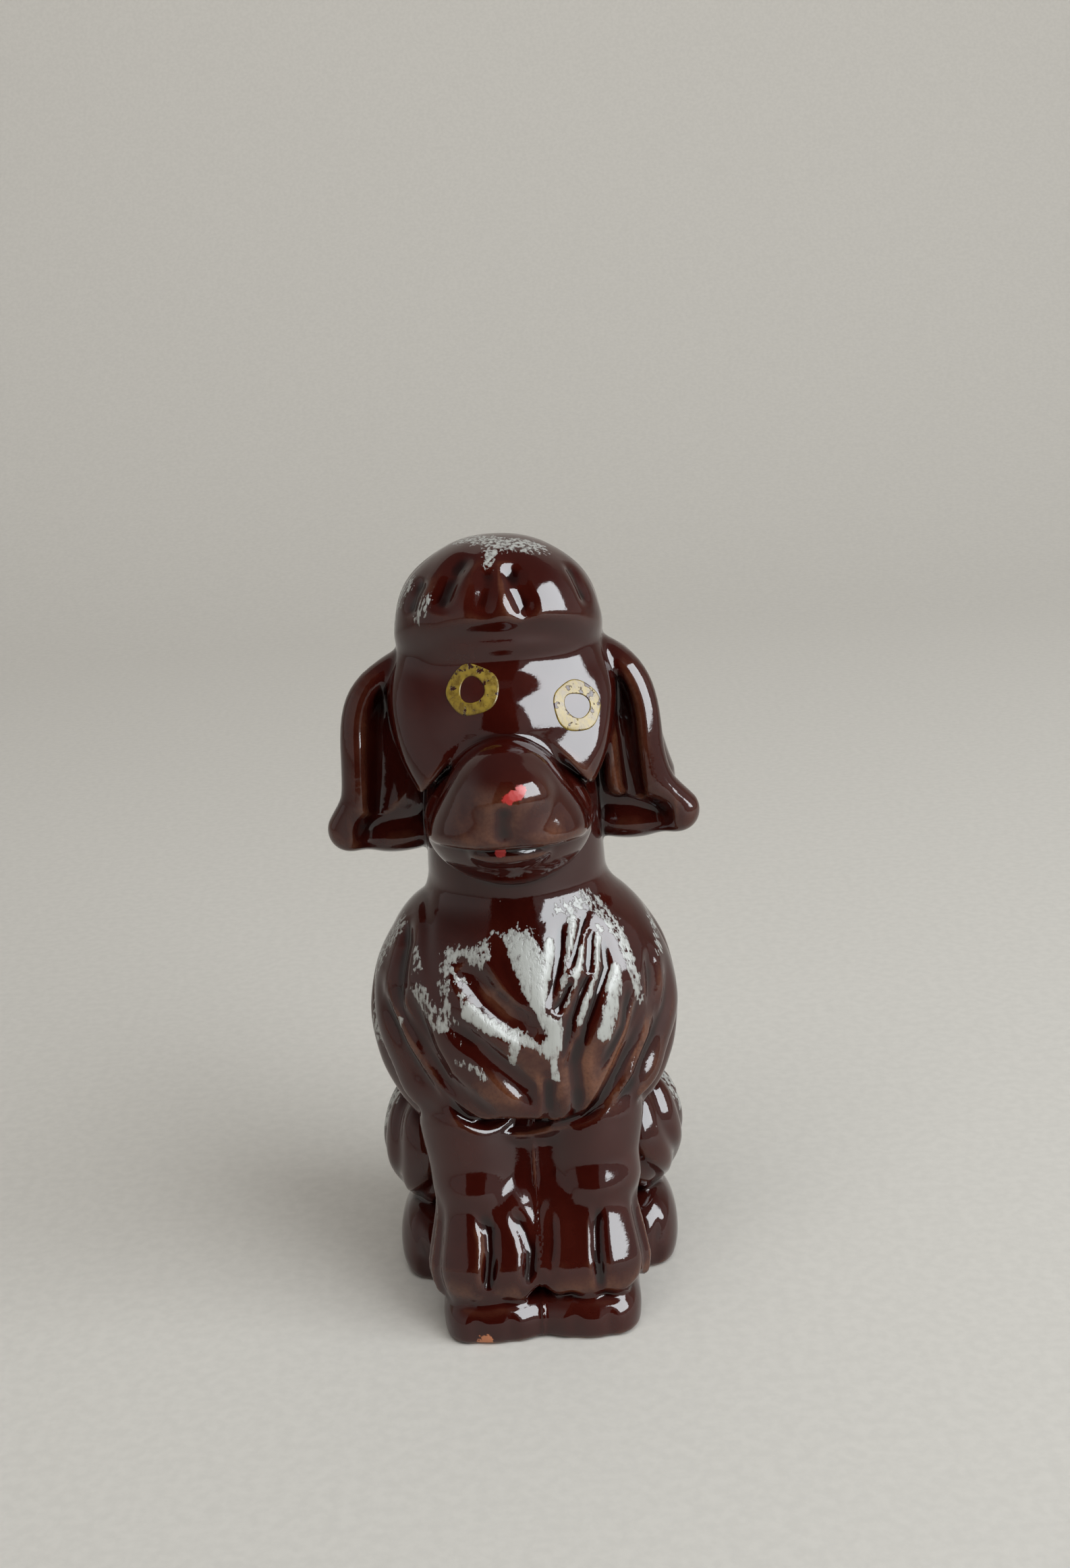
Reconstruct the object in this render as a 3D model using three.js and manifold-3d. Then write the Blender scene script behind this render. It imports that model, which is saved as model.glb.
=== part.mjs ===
// A seated poodle in a lion clip: a small slip-cast figurine of red clay under a brown glaze.
// Millimetres, +Z up. The dog faces -Y, so its own left is +X, and it sits flat on z = 0.
import * as THREE from "three";
import { mergeVertices } from "three/addons/utils/BufferGeometryUtils.js";
import Module from "manifold-3d";

// Driving dimensions

// Slip joint between two clay members, film of glaze under the enamel, and the enamel itself.
const JOINT = 0.3;
const ENAMEL_GAP = 0.15;
const ENAMEL_THICKNESS = 0.5;

// Facets across each lock of hair.
const LOCK_COLUMNS = 3;

// Front paws: rounded blocks, side by side in front of the body's axis.
const PAW_SPACING = 12.4;
const PAW_FORWARD = 11.8;
const PAW_WIDTH = 13;
const PAW_LENGTH = 20.8;
const PAW_HEIGHT = 8.2;
const PAW_SQUARENESS = 3.4;

// Cuffs: fluted bells that lean back and hang over the paws.
const CUFF_SPACING = 14.8;
const CUFF_INSET = 3.3;
const CUFF_WIDTH = 13.8;
const CUFF_FORWARD = 13.4;
const CUFF_TOP_WIDTH = 12.4;
const CUFF_TOP_FORWARD = 10.8;
const CUFF_HEIGHT = 14.4;
const CUFF_LAP = 3.8;
const CUFF_HEM_ROUND = 2;
const CUFF_FLUTE_WIDTH = 1.15;
// Each flute's place in degrees round from the front, and its depth.
const LEFT_CUFF_FLUTES = [
  [-150, 1], [-110, 0.9], [-44, 0.3], [0, 0.8], [34, 0.2], [62, 0.6], [90, 0.9], [120, 1], [160, 1],
];
const RIGHT_CUFF_FLUTES = [
  [-160, 1], [-120, 1], [-84, 0.8], [-56, 0.5], [-24, 0.2], [8, 1.5], [46, 1], [100, 0.8], [150, 1],
];

// Forelegs: bare limbs that narrow from the shoulder to a ledge above the cuff, and meet in the middle.
const FORELEG_LENGTH = 18.9;
const SHOULDER_DROP = 12.1;
const SHOULDER_SPACING = 13.4;
const SHOULDER_FORWARD = 8.4;
const SHOULDER_WIDTH = 15.4;
const ANKLE_SINK = 3.8;
const ANKLE_SPACING = 12.4;
const ANKLE_FORWARD = 11.3;
const ANKLE_WIDTH = 12.6;
const LEDGE_SINK = 1;
const LEDGE_SPACING = 14.4;
const LEDGE_WIDTH = 10.4;
const LEDGE_HEIGHT = 8;
const SEAM_WIDTH = 6.8;

// Ruff: the ball of locks on chest and shoulders, with the neck that rises from it.
const RUFF_WIDTH = 40.4;
const RUFF_DEPTH = 34;
const RUFF_HEIGHT = 41;
const RUFF_FORWARD = 1;
const NECK_WIDTH = 23.4;
const NECK_TAPER = 2;
const NECK_LENGTH = 7.6;
const NECK_FORWARD = 0.2;
const NECK_SINK = 8.2;
const LOCK_END_WIDTH = 32;
const LOCK_END_DEPTH = 21;
const LOCK_END_HEIGHT = 13.6;
const LOCK_END_FORWARD = 7;
const LOCK_END_DROP = 7.1;
const LOCK_WIDTH = 1.3;
const CHEST_LOCK_DEPTH = 0.65;
const BACK_LOCK_DEPTH = 1.3;
// The locks gather at the foot of the chest, this far in front of the axis and below the ruff's middle.
const GATHER_FORWARD = 14;
const GATHER_DROP = 10.7;
// Grooves round that gather: those of the chest run closer together than those of the back.
const CHEST_LOCK_SPACING = 11.5;
const BACK_LOCK_SPACING = 21.2;
// Grooves cut by hand in the chest: places across and up as shares of the ruff, width and depth.
const CHEST_CUTS = [
  { line: [[-0.19, 0.25], [-0.11, 0.16], [0, 0.07], [0.03, 0.05]], width: 1.3, depth: 4 },
  { line: [[0.13, 0.36], [0.12, 0.27], [0.08, 0.12]], width: 0.95, depth: 0.8 },
  { line: [[0.25, 0.31], [0.26, 0.21], [0.19, 0.06], [0.15, -0.11]], width: 0.9, depth: 1 },
  { line: [[0.17, 0.06], [0.15, -0.06], [0.15, -0.21], [0.12, -0.27]], width: 1, depth: 1.7 },
  { line: [[0.37, 0.11], [0.34, 0], [0.23, -0.2], [0.15, -0.27]], width: 1.3, depth: 1.5 },
  { line: [[0.4, 0.23], [0.42, 0.06], [0.35, -0.16], [0.26, -0.25]], width: 1.2, depth: 1.3 },
  { line: [[-0.25, 0.1], [-0.15, 0.01], [-0.08, -0.05], [0.02, -0.2]], width: 1.2, depth: 1.5 },
  { line: [[-0.34, 0.15], [-0.31, -0.01], [-0.19, -0.17], [-0.1, -0.21]], width: 1.3, depth: 1.5 },
  { line: [[-0.43, 0.13], [-0.4, -0.02], [-0.29, -0.17], [-0.21, -0.23]], width: 1.2, depth: 1.3 },
  { line: [[-0.3, 0.44], [-0.29, 0.33], [-0.28, 0.21], [-0.26, 0.14]], width: 1.1, depth: 2.2 },
  { line: [[-0.35, 0.34], [-0.39, 0.17], [-0.42, 0.06]], width: 1.2, depth: 1 },
  { line: [[-0.2, -0.24], [-0.11, -0.24], [-0.02, -0.26], [0.07, -0.3]], width: 2.1, depth: 3.8 },
];
// Tuft in the hollow below the chest, where the locks part.
const TUFT_WIDTH = 9;
const TUFT_DEPTH = 8.6;
const TUFT_HEIGHT = 7;
const TUFT_FORWARD = 12.6;
const TUFT_DROP = 11.7;

// Trunk: the shaved hindquarters, with a flat seat and the vent of the casting.
const TRUNK_WIDTH = 28;
const TRUNK_BACK = 8;
const SEAT_RISE = 10;
const LOIN_WIDTH = 25;
const LOIN_BACK = 3;
const LOIN_RISE = 32;
const VENT_DIAMETER = 5;
const VENT_DEPTH = 12;

// Thighs and hind feet.
const THIGH_SPACING = 27.2;
const THIGH_BACK = 4.5;
const THIGH_RISE = 17.5;
const THIGH_WIDTH = 13.6;
const THIGH_LENGTH = 20;
const THIGH_HEIGHT = 18;
const THIGH_FLUTES = 9;
const THIGH_FLUTE_DEPTH = 0.6;
const THIGH_FLUTE_WIDTH = 1.3;
const HIND_FOOT_SPACING = 28;
const HIND_FOOT_BACK = 3.2;
const HIND_FOOT_WIDTH = 9.8;
const HIND_FOOT_LENGTH = 17.2;
const HIND_FOOT_HEIGHT = 10;
const HIND_FOOT_SQUARENESS = 2.4;

// Tail and its pompon, cast close against the back.
const TAIL_ROOT_RISE = 12;
const TAIL_ROOT_SINK = 4;
const TAIL_END_SINK = 2.5;
const TAIL_LENGTH = 12;
const TAIL_WIDTH = 6.4;
const POMPON_WIDTH = 13;
const POMPON_HEIGHT = 13.4;
const POMPON_FLUTES = 10;
const POMPON_FLUTE_DEPTH = 0.8;
const POMPON_FLUTE_WIDTH = 0.9;

// Head: a skull, and a clipped face that stands proud of it like a mask. The mask's lower edge rises to
// a peak between the eyes, and the shaved muzzle comes out below it.
const SKULL_WIDTH = 26.4;
const SKULL_DEPTH = 22;
const SKULL_HEIGHT = 29;
const JOWL_WIDTH = 19.4;
const JOWL_FORWARD = 2.5;
const JOWL_DROP = 12;
const FOREHEAD_RISE = 8.2;
const FOREHEAD_WIDTH = 24.4;
const FOREHEAD_DEPTH = 18.8;
const FOREHEAD_HEIGHT = 12;
const MASK_WIDTH = 31;
const MASK_DEPTH = 20;
const MASK_HEIGHT = 36;
const MASK_FORWARD = 1.6;
const MASK_DROP = 6;
const MASK_LEAN = 0.3;
const MASK_PEAK = 1.3;
const MASK_EDGE_SLOPE = 0.8;
const BRIDGE_WIDTH = 17.4;
const BRIDGE_FORWARD = 6;
const BRIDGE_DROP = 8.1;
const MUZZLE_WIDTH = 19.2;
const MUZZLE_DEPTH = 17.6;
const MUZZLE_FORWARD = 15.2;
const MUZZLE_DROP = 11.9;
const MOUTH_DROP = 13.9;
const MOUTH_SLOPE = 0.236;
const JAW_WIDTH = 17.2;
const JAW_LENGTH = 17;
const JAW_HEIGHT = 14;
const JAW_FORWARD = 10.4;
const JAW_DROP = 13;

// Topknot: a dome of locks with a rim that rises towards the forehead.
const TOPKNOT_WIDTH = 25.8;
const TOPKNOT_DEPTH = 24;
const TOPKNOT_HEIGHT = 10.8;
const TOPKNOT_SEAT = 9.2;
const TOPKNOT_RIM = 8.4;
const TOPKNOT_TILT = 0.16;
const TOPKNOT_ROUND = 3.6;
const TOPKNOT_LOCK_DEPTH = 0.8;
const TOPKNOT_LOCK_WIDTH = 1.1;
const TOPKNOT_GROOVES = [-166, -140, -114, -90, -66, -44, -25, 17, 38, 64, 90, 116, 142, 168];

// Ears: a rolled front rim that bows out and flares at the tip, with the flap behind it.
const EAR_LENGTH = 20.5;
const EAR_ROOT_RISE = 3.8;
const EAR_SHOULDER_SPREAD = 17.4;
const EAR_TIP_SPREAD = 21;
const EAR_RIM_WIDTH = 5;
const EAR_TIP_WIDTH = 5.6;
const EAR_FLAP_BACK = 4.5;
const EAR_FLAP_WIDTH = 11.6;
const EAR_CHANNEL_WIDTH = 1.7;
const EAR_CHANNEL_DEPTH = 2.6;
// The ears were set by hand: the right one bows out a little more than the left.
const LEFT_EAR_BOW = -0.9;
const RIGHT_EAR_BOW = 0.9;

// Eyes: hand-painted rings, which don't quite match.
const EYE_RING_DIAMETER = 6.4;
const EYE_PUPIL_DIAMETER = 3.3;
const LEFT_EYE_ACROSS = 8.6;
const LEFT_EYE_RISE = -0.1;
const RIGHT_EYE_ACROSS = 4;
const RIGHT_EYE_RISE = 2.9;

// Heights that follow from the sizes above, from the table up.
const CUFF_BOTTOM = PAW_HEIGHT - CUFF_LAP;
const CUFF_TOP = CUFF_BOTTOM + CUFF_HEIGHT;
const RUFF_MIDDLE = CUFF_TOP + FORELEG_LENGTH;
const RUFF_TOP = RUFF_MIDDLE + RUFF_HEIGHT / 2;
const SKULL_MIDDLE = RUFF_TOP + NECK_LENGTH + SKULL_WIDTH / 2;
const LEFT = 1;
const RIGHT = -1;

// Forms: each is a function of a point that is below zero inside the clay and above zero outside.

const at = (x, y, z) => new THREE.Vector3(x, y, z);

// An ellipsoid with its full width, depth and height.
function ball(centre, width, depth, height) {
  const half = at(width / 2, depth / 2, height / 2);
  const q = at(0, 0, 0);
  return (p) => {
    q.subVectors(p, centre).divide(half);
    const reach = q.length();
    return (reach * (reach - 1)) / (q.divide(half).length() + 1e-9);
  };
}

// A block with rounded sides: a squareness of 2 is an ellipsoid, and more is boxier.
function block(centre, width, depth, height, squareness) {
  const half = at(width / 2, depth / 2, height / 2);
  const least = Math.min(half.x, half.y, half.z);
  return (p) => {
    const x = Math.abs((p.x - centre.x) / half.x) ** squareness;
    const y = Math.abs((p.y - centre.y) / half.y) ** squareness;
    const z = Math.abs((p.z - centre.z) / half.z) ** squareness;
    return ((x + y + z) ** (1 / squareness) - 1) * least;
  };
}

// A limb with round ends that tapers from one width to another.
function limb(from, to, fromWidth, toWidth) {
  const along = at(0, 0, 0).subVectors(to, from);
  const q = at(0, 0, 0);
  return (p) => {
    q.subVectors(p, from);
    const share = THREE.MathUtils.clamp(q.dot(along) / along.lengthSq(), 0, 1);
    q.addScaledVector(along, -share);
    return q.length() - THREE.MathUtils.lerp(fromWidth, toWidth, share) / 2;
  };
}

// Joins forms with a fillet, as wet clay is smoothed over a join.
function blend(fillet, ...forms) {
  return (p) =>
    forms
      .map((form) => form(p))
      .reduce((a, b) => Math.min(a, b) - Math.max(fillet - Math.abs(a - b), 0) ** 2 / (4 * fillet));
}

// Keeps what two forms share, with a rounded edge.
function trim(round, a, b) {
  const joined = blend(round, (p) => -a(p), (p) => -b(p));
  return (p) => -joined(p);
}

// How deep grooves round an axis bite at an angle and a distance out: each is its angle and its depth.
function comb(angle, out, grooves, width) {
  let deepest = 0;
  for (const [place, depth] of grooves) {
    const off = THREE.MathUtils.euclideanModulo(angle - place + 180, 360) - 180;
    const across = (THREE.MathUtils.degToRad(off) * out) / width;
    deepest = Math.max(deepest, depth * Math.exp(-across * across));
  }
  return deepest;
}

// Presses grooves into a form. Each follows a line of points and runs out at both ends.
function press(form, grooves) {
  const nearest = at(0, 0, 0);
  const paths = grooves.map(({ points, width, depth }) => {
    const steps = points.slice(1).map((point, i) => new THREE.Line3(points[i], point));
    return { steps, width, depth };
  });
  return (p) => {
    let deepest = 0;
    for (const { steps, width, depth } of paths) {
      let away = Infinity;
      let reached = 0;
      steps.forEach((step, i) => {
        const share = step.closestPointToPointParameter(p, true);
        const distance = step.at(share, nearest).distanceTo(p);
        if (distance < away) reached = (i + share) / steps.length;
        away = Math.min(away, distance);
      });
      const runOut = THREE.MathUtils.smoothstep(Math.min(reached, 1 - reached), -0.06, 0.28);
      deepest = Math.max(deepest, runOut * depth * Math.exp(-((away / width) ** 2)));
    }
    return form(p) + deepest;
  };
}

// A ring of grooves evenly spaced.
function evenGrooves(count, depth) {
  return Array.from({ length: count }, (_, i) => [(360 * (i + 0.5)) / count - 180, depth]);
}

// An axis with the direction that angles are counted from and the direction they turn towards.
function makeAxis(from, to, startHint) {
  const axis = at(0, 0, 0).subVectors(to, from).normalize();
  const start = startHint.clone().addScaledVector(axis, -startHint.dot(axis)).normalize();
  return { from, to, axis, start, turn: at(0, 0, 0).crossVectors(axis, start) };
}

// Where a point lies about an axis: angle in degrees, distance out from it and height along it.
function about(spine, p) {
  const q = at(0, 0, 0).subVectors(p, spine.from);
  const a = q.dot(spine.start);
  const b = q.dot(spine.turn);
  return { angle: THREE.MathUtils.radToDeg(Math.atan2(b, a)), out: Math.hypot(a, b), up: q.dot(spine.axis) };
}

// Solids

const wasm = await Module();
wasm.setup();

function toSolid(geometry) {
  geometry.deleteAttribute("normal");
  geometry.deleteAttribute("uv");
  const merged = mergeVertices(geometry, 1e-5);
  return new wasm.Manifold(
    new wasm.Mesh({
      numProp: 3,
      vertProperties: merged.attributes.position.array,
      triVerts: new Uint32Array(merged.index.array),
    }),
  );
}

// Walks from a point along a direction to where a form reaches a level, and leaves the point there.
function walk(form, level, point, direction, towards) {
  for (let i = 0; i < 60; i++) {
    const miss = level - form(point);
    point.addScaledVector(direction, 0.6 * towards * miss);
    if (Math.abs(miss) < 1e-5) break;
  }
  return point;
}

// Angle of a column where several columns share each lock, the first of them in its groove.
function columnAngle(grooves, column) {
  const lock = Math.floor(column / LOCK_COLUMNS);
  const start = grooves[lock][0];
  const end = lock + 1 < grooves.length ? grooves[lock + 1][0] : grooves[0][0] + 360;
  return start + ((end - start) * (column % LOCK_COLUMNS)) / LOCK_COLUMNS;
}

// Pulls a globe of points from a spine out to a form's surface, or to a skin that lies outside it.
// With grooves the globe's columns follow them, a few to a lock. Crowding draws the rows to the spine's end.
function wrap(form, spine, { columns = 20, rows = 12, grooves = null, outside = 0, crowding = 1 } = {}) {
  const count = grooves ? LOCK_COLUMNS * grooves.length : columns;
  const globe = new THREE.SphereGeometry(1, count, rows);
  const points = globe.attributes.position;
  const direction = at(0, 0, 0);
  const point = at(0, 0, 0);
  for (let i = 0; i < points.count; i++) {
    const row = Math.floor(i / (count + 1));
    const pole = row === 0 || row === rows;
    const column = pole ? 0 : (i % (count + 1)) % count;
    const degrees = grooves ? columnAngle(grooves, column) : (360 * column) / count;
    const angle = THREE.MathUtils.degToRad(degrees);
    const tilt = Math.PI * (row / rows) ** crowding;
    const height = pole ? 1 - (2 * row) / rows : Math.cos(tilt);
    const out = pole ? 0 : Math.sin(tilt);
    direction.copy(spine.axis).multiplyScalar(height);
    direction.addScaledVector(spine.start, out * Math.cos(angle));
    direction.addScaledVector(spine.turn, out * Math.sin(angle));
    point.lerpVectors(spine.from, spine.to, (1 + height) / 2);
    walk(form, outside, point, direction, 1);
    points.setXYZ(i, point.x, point.y, point.z);
  }
  return toSolid(globe);
}

// A box that spans between two corners.
function boxSolid(low, high) {
  const size = at(0, 0, 0).subVectors(high, low);
  const geometry = new THREE.BoxGeometry(size.x, size.y, size.z);
  geometry.translate((low.x + high.x) / 2, (low.y + high.y) / 2, (low.z + high.z) / 2);
  return toSolid(geometry);
}

// The main body of a solid, without slivers that a cut has left apart.
function largestBody(solid) {
  return solid.decompose().reduce((most, body) => (body.volume() > most.volume() ? body : most));
}

// Members: form, plain form that cuts its neighbours, and the spine that its skin is pulled from.

const UP = at(0, 0, 1);
const FRONT = at(0, -1, 0);

function maskForm() {
  const brow = ball(at(-0.8, -MASK_FORWARD, SKULL_MIDDLE - MASK_DROP), MASK_WIDTH, MASK_DEPTH, MASK_HEIGHT);
  const upright = at(0, 0, 0);
  const leaning = (p) => brow(upright.set(p.x, p.y - MASK_LEAN * (p.z - SKULL_MIDDLE - 1), p.z));
  const temples = (p) => {
    const drop = Math.max(SKULL_MIDDLE + 4 - p.z, 0);
    return Math.abs(p.x + 0.1) - SKULL_WIDTH / 2 - 0.7 + 0.018 * drop ** 2;
  };
  const edge = (p) => {
    const line = SKULL_MIDDLE + MASK_PEAK - MASK_EDGE_SLOPE * Math.hypot(p.x, 1.2) - 0.02 * p.x ** 2;
    return (line - p.z) / 1.3;
  };
  return trim(1.3, trim(3.5, leaning, temples), edge);
}

function headMember() {
  const crown = ball(at(0, 2.6, SKULL_MIDDLE + 0.4), SKULL_WIDTH, SKULL_DEPTH, SKULL_HEIGHT);
  const jowlTop = at(0, -JOWL_FORWARD, SKULL_MIDDLE - 0.33 * JOWL_DROP);
  const jowlEnd = at(0, -1.6 * JOWL_FORWARD, SKULL_MIDDLE - JOWL_DROP);
  const jowl = limb(jowlTop, jowlEnd, 1.165 * JOWL_WIDTH, JOWL_WIDTH);
  const brow = at(-0.4, 1, SKULL_MIDDLE + FOREHEAD_RISE);
  const forehead = ball(brow, FOREHEAD_WIDTH, FOREHEAD_DEPTH, FOREHEAD_HEIGHT);
  const skull = blend(1.4, blend(3, crown, jowl), blend(3, maskForm(), forehead));
  const bridgeTop = at(0, -BRIDGE_FORWARD, SKULL_MIDDLE - BRIDGE_DROP);
  const bridgeEnd = at(0, 1 - MUZZLE_FORWARD, SKULL_MIDDLE - MUZZLE_DROP + 1.5);
  const bridge = limb(bridgeTop, bridgeEnd, BRIDGE_WIDTH, 0.86 * BRIDGE_WIDTH);
  const lips = at(0, -MUZZLE_FORWARD, SKULL_MIDDLE - MUZZLE_DROP);
  const snout = ball(lips, MUZZLE_WIDTH, MUZZLE_DEPTH, MUZZLE_WIDTH);
  const tip = -MUZZLE_FORWARD - MUZZLE_DEPTH / 2;
  const lipEdge = (p) => SKULL_MIDDLE - MOUTH_DROP - MOUTH_SLOPE * (p.y - tip - 1) + 0.012 * p.x ** 2 - p.z;
  const noseTip = ball(at(0.3, tip + 2.8, SKULL_MIDDLE - MUZZLE_DROP + 4.5), 8, 5, 5.4);
  const muzzle = blend(1.2, bridge, trim(1.2, blend(2.4, snout, noseTip), lipEdge));
  const jaw = ball(at(0, -JAW_FORWARD, SKULL_MIDDLE - JAW_DROP), JAW_WIDTH, JAW_LENGTH, JAW_HEIGHT);
  const form = blend(0.45, blend(1, skull, muzzle), jaw);
  const heart = at(0, 5 - MUZZLE_FORWARD, SKULL_MIDDLE - MUZZLE_DROP + 1);
  const spine = makeAxis(at(0, 2, SKULL_MIDDLE - 1), heart, UP);
  return { name: "head", form, spine, columns: 44, rows: 29, crowding: 1.25 };
}

// Grooves of the ruff, from one side of the back round the chest to the other.
function ruffGrooves() {
  const count = 8;
  const chest = Array.from({ length: 2 * count + 1 }, (_, i) => {
    const step = i - count;
    const depth = CHEST_LOCK_DEPTH + 0.25 * Math.sin(1.7 * step + 1);
    return [CHEST_LOCK_SPACING * step + 4 * Math.sin(2.3 * step), depth];
  });
  const back = [0.5, 1.5, 2.5, 3.5].map((step) => 180 - BACK_LOCK_SPACING * step);
  return [
    ...back.map((angle) => [-angle, BACK_LOCK_DEPTH]),
    ...chest,
    ...back.reverse().map((angle) => [angle, BACK_LOCK_DEPTH]),
  ];
}

function ruffMember() {
  const gather = at(0.5, -GATHER_FORWARD, RUFF_MIDDLE - GATHER_DROP);
  const nape = at(0, 1, RUFF_TOP + NECK_LENGTH / 2);
  const locksAxis = makeAxis(gather, nape, FRONT);
  const chest = ball(at(0, -RUFF_FORWARD, RUFF_MIDDLE), RUFF_WIDTH, RUFF_DEPTH, RUFF_HEIGHT);
  const endsAt = at(0.4, -LOCK_END_FORWARD, RUFF_MIDDLE - LOCK_END_DROP);
  const lockEnds = ball(endsAt, LOCK_END_WIDTH, LOCK_END_DEPTH, LOCK_END_HEIGHT);
  const neckFoot = at(0, -2 * NECK_FORWARD, RUFF_TOP - NECK_SINK);
  const neckTop = at(0, NECK_FORWARD, RUFF_TOP + NECK_LENGTH + NECK_SINK);
  const neck = limb(neckFoot, neckTop, NECK_WIDTH, NECK_WIDTH - NECK_TAPER);
  const tuft = ball(at(-1.2, -TUFT_FORWARD, RUFF_MIDDLE - TUFT_DROP), TUFT_WIDTH, TUFT_DEPTH, TUFT_HEIGHT);
  const coat = blend(1.6, blend(3, chest, lockEnds), neck);
  const plain = blend(0.6, coat, tuft);
  const cuts = CHEST_CUTS.map(({ line, width, depth }) => {
    const onChest = ([across, up]) => at(across * RUFF_WIDTH, -RUFF_DEPTH, RUFF_MIDDLE + up * RUFF_HEIGHT);
    return { points: line.map((place) => walk(coat, 0, onChest(place), FRONT, 1)), width, depth };
  });
  const cut = blend(0.6, press(coat, cuts), tuft);
  const grooves = ruffGrooves();
  const form = (p) => {
    const { angle, out, up } = about(locksAxis, p);
    const gathered = THREE.MathUtils.smoothstep(out, 2, 7);
    const behind = THREE.MathUtils.smoothstep(Math.abs(angle), 92, 104);
    const beside = THREE.MathUtils.smoothstep(Math.abs(angle), 62, 84);
    const fadeFrom = THREE.MathUtils.lerp(0.29, 0.46, behind) * RUFF_HEIGHT;
    const fadeTo = THREE.MathUtils.lerp(0.51, 0.66, behind) * RUFF_HEIGHT;
    const faded = 1 - THREE.MathUtils.smoothstep(up, fadeFrom, fadeTo);
    return cut(p) + gathered * faded * beside * comb(angle, out, grooves, LOCK_WIDTH);
  };
  const low = gather.clone().addScaledVector(locksAxis.axis, 10);
  const spine = makeAxis(low, nape, FRONT);
  return { name: "ruff", form, plain, spine, rows: 17, grooves };
}

function trunkMember() {
  const seat = at(0, TRUNK_BACK, SEAT_RISE);
  const loin = at(0, LOIN_BACK, LOIN_RISE);
  const form = limb(seat, loin, TRUNK_WIDTH, LOIN_WIDTH);
  return { name: "trunk", form, spine: makeAxis(seat, loin, FRONT), columns: 24, rows: 12 };
}

function cuffMember(side, name, grooves) {
  const low = at((side * CUFF_SPACING) / 2, -CUFF_FORWARD, CUFF_BOTTOM + 0.35 * CUFF_HEIGHT);
  const high = at(low.x - 0.2 * side, -CUFF_TOP_FORWARD, CUFF_BOTTOM + 0.71 * CUFF_HEIGHT);
  const innerLow = at(side * CUFF_INSET, low.y, low.z);
  const innerHigh = at(side * CUFF_INSET, high.y - 0.6, high.z - 2.2);
  const outer = limb(high, low, CUFF_TOP_WIDTH, CUFF_WIDTH);
  const bell = blend(1, outer, limb(innerHigh, innerLow, CUFF_TOP_WIDTH, CUFF_WIDTH));
  const plain = trim(CUFF_HEM_ROUND, bell, (p) => CUFF_BOTTOM - p.z);
  const spine = makeAxis(low, high, FRONT);
  const form = (p) => {
    const { angle, out } = about(spine, p);
    return plain(p) + THREE.MathUtils.smoothstep(out, 2, 6) * comb(angle, out, grooves, CUFF_FLUTE_WIDTH);
  };
  return { name, form, plain, spine, rows: 8, grooves, side };
}

function thighMember(side, name) {
  const middle = at((side * THIGH_SPACING) / 2, THIGH_BACK, THIGH_RISE);
  const plain = ball(middle, THIGH_WIDTH, THIGH_LENGTH, THIGH_HEIGHT);
  const spine = makeAxis(middle, middle.clone().add(at(-0.3 * side, 0, 1)), FRONT);
  const grooves = evenGrooves(THIGH_FLUTES, THIGH_FLUTE_DEPTH);
  const form = (p) => {
    const { angle, out } = about(spine, p);
    return plain(p) + THREE.MathUtils.smoothstep(out, 1, 6) * comb(angle, out, grooves, THIGH_FLUTE_WIDTH);
  };
  return { name, form, plain, spine, rows: 7, grooves };
}

function forelegMember(side, name) {
  const shoulder = at((side * SHOULDER_SPACING) / 2, -SHOULDER_FORWARD, RUFF_MIDDLE - SHOULDER_DROP);
  const ankle = at((side * ANKLE_SPACING) / 2, -ANKLE_FORWARD, CUFF_TOP - ANKLE_SINK);
  const bone = limb(shoulder, ankle, SHOULDER_WIDTH, ANKLE_WIDTH);
  const seam = limb(at(0, shoulder.y, shoulder.z), at(0, ankle.y, ankle.z), SEAM_WIDTH, SEAM_WIDTH);
  const ledgeAt = at((side * LEDGE_SPACING) / 2, ankle.y, CUFF_TOP - LEDGE_SINK);
  const ledge = ball(ledgeAt, LEDGE_WIDTH, ANKLE_WIDTH, LEDGE_HEIGHT);
  const form = blend(1.2, bone, seam, ledge);
  return { name, form, spine: makeAxis(ankle, shoulder, FRONT), columns: 18, rows: 12, side };
}

function pawMember(side, name) {
  const roundness = PAW_HEIGHT * 1.366;
  const middle = at((side * PAW_SPACING) / 2, -PAW_FORWARD, PAW_HEIGHT - roundness / 2);
  const toes = block(middle, PAW_WIDTH, PAW_LENGTH, roundness, PAW_SQUARENESS);
  const between = at(0, middle.y + 0.7, middle.z);
  const seam = block(between, 0.7 * PAW_WIDTH, PAW_LENGTH - 1.4, 0.9 * roundness, PAW_SQUARENESS);
  const form = blend(0.8, toes, seam);
  const tip = at(middle.x, -PAW_FORWARD - PAW_LENGTH / 4, middle.z);
  const heel = at(middle.x, -PAW_FORWARD + PAW_LENGTH / 4, middle.z);
  return { name, form, spine: makeAxis(heel, tip, UP), columns: 20, rows: 10, side };
}

function hindFootMember(side, name) {
  const roundness = HIND_FOOT_HEIGHT * 1.24;
  const middle = at((side * HIND_FOOT_SPACING) / 2, HIND_FOOT_BACK, HIND_FOOT_HEIGHT - roundness / 2);
  const form = block(middle, HIND_FOOT_WIDTH, HIND_FOOT_LENGTH, roundness, HIND_FOOT_SQUARENESS);
  const tip = at(middle.x, middle.y - HIND_FOOT_LENGTH / 4, middle.z);
  const heel = at(middle.x, middle.y + HIND_FOOT_LENGTH / 4, middle.z);
  return { name, form, spine: makeAxis(heel, tip, UP), columns: 14, rows: 9 };
}

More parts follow.
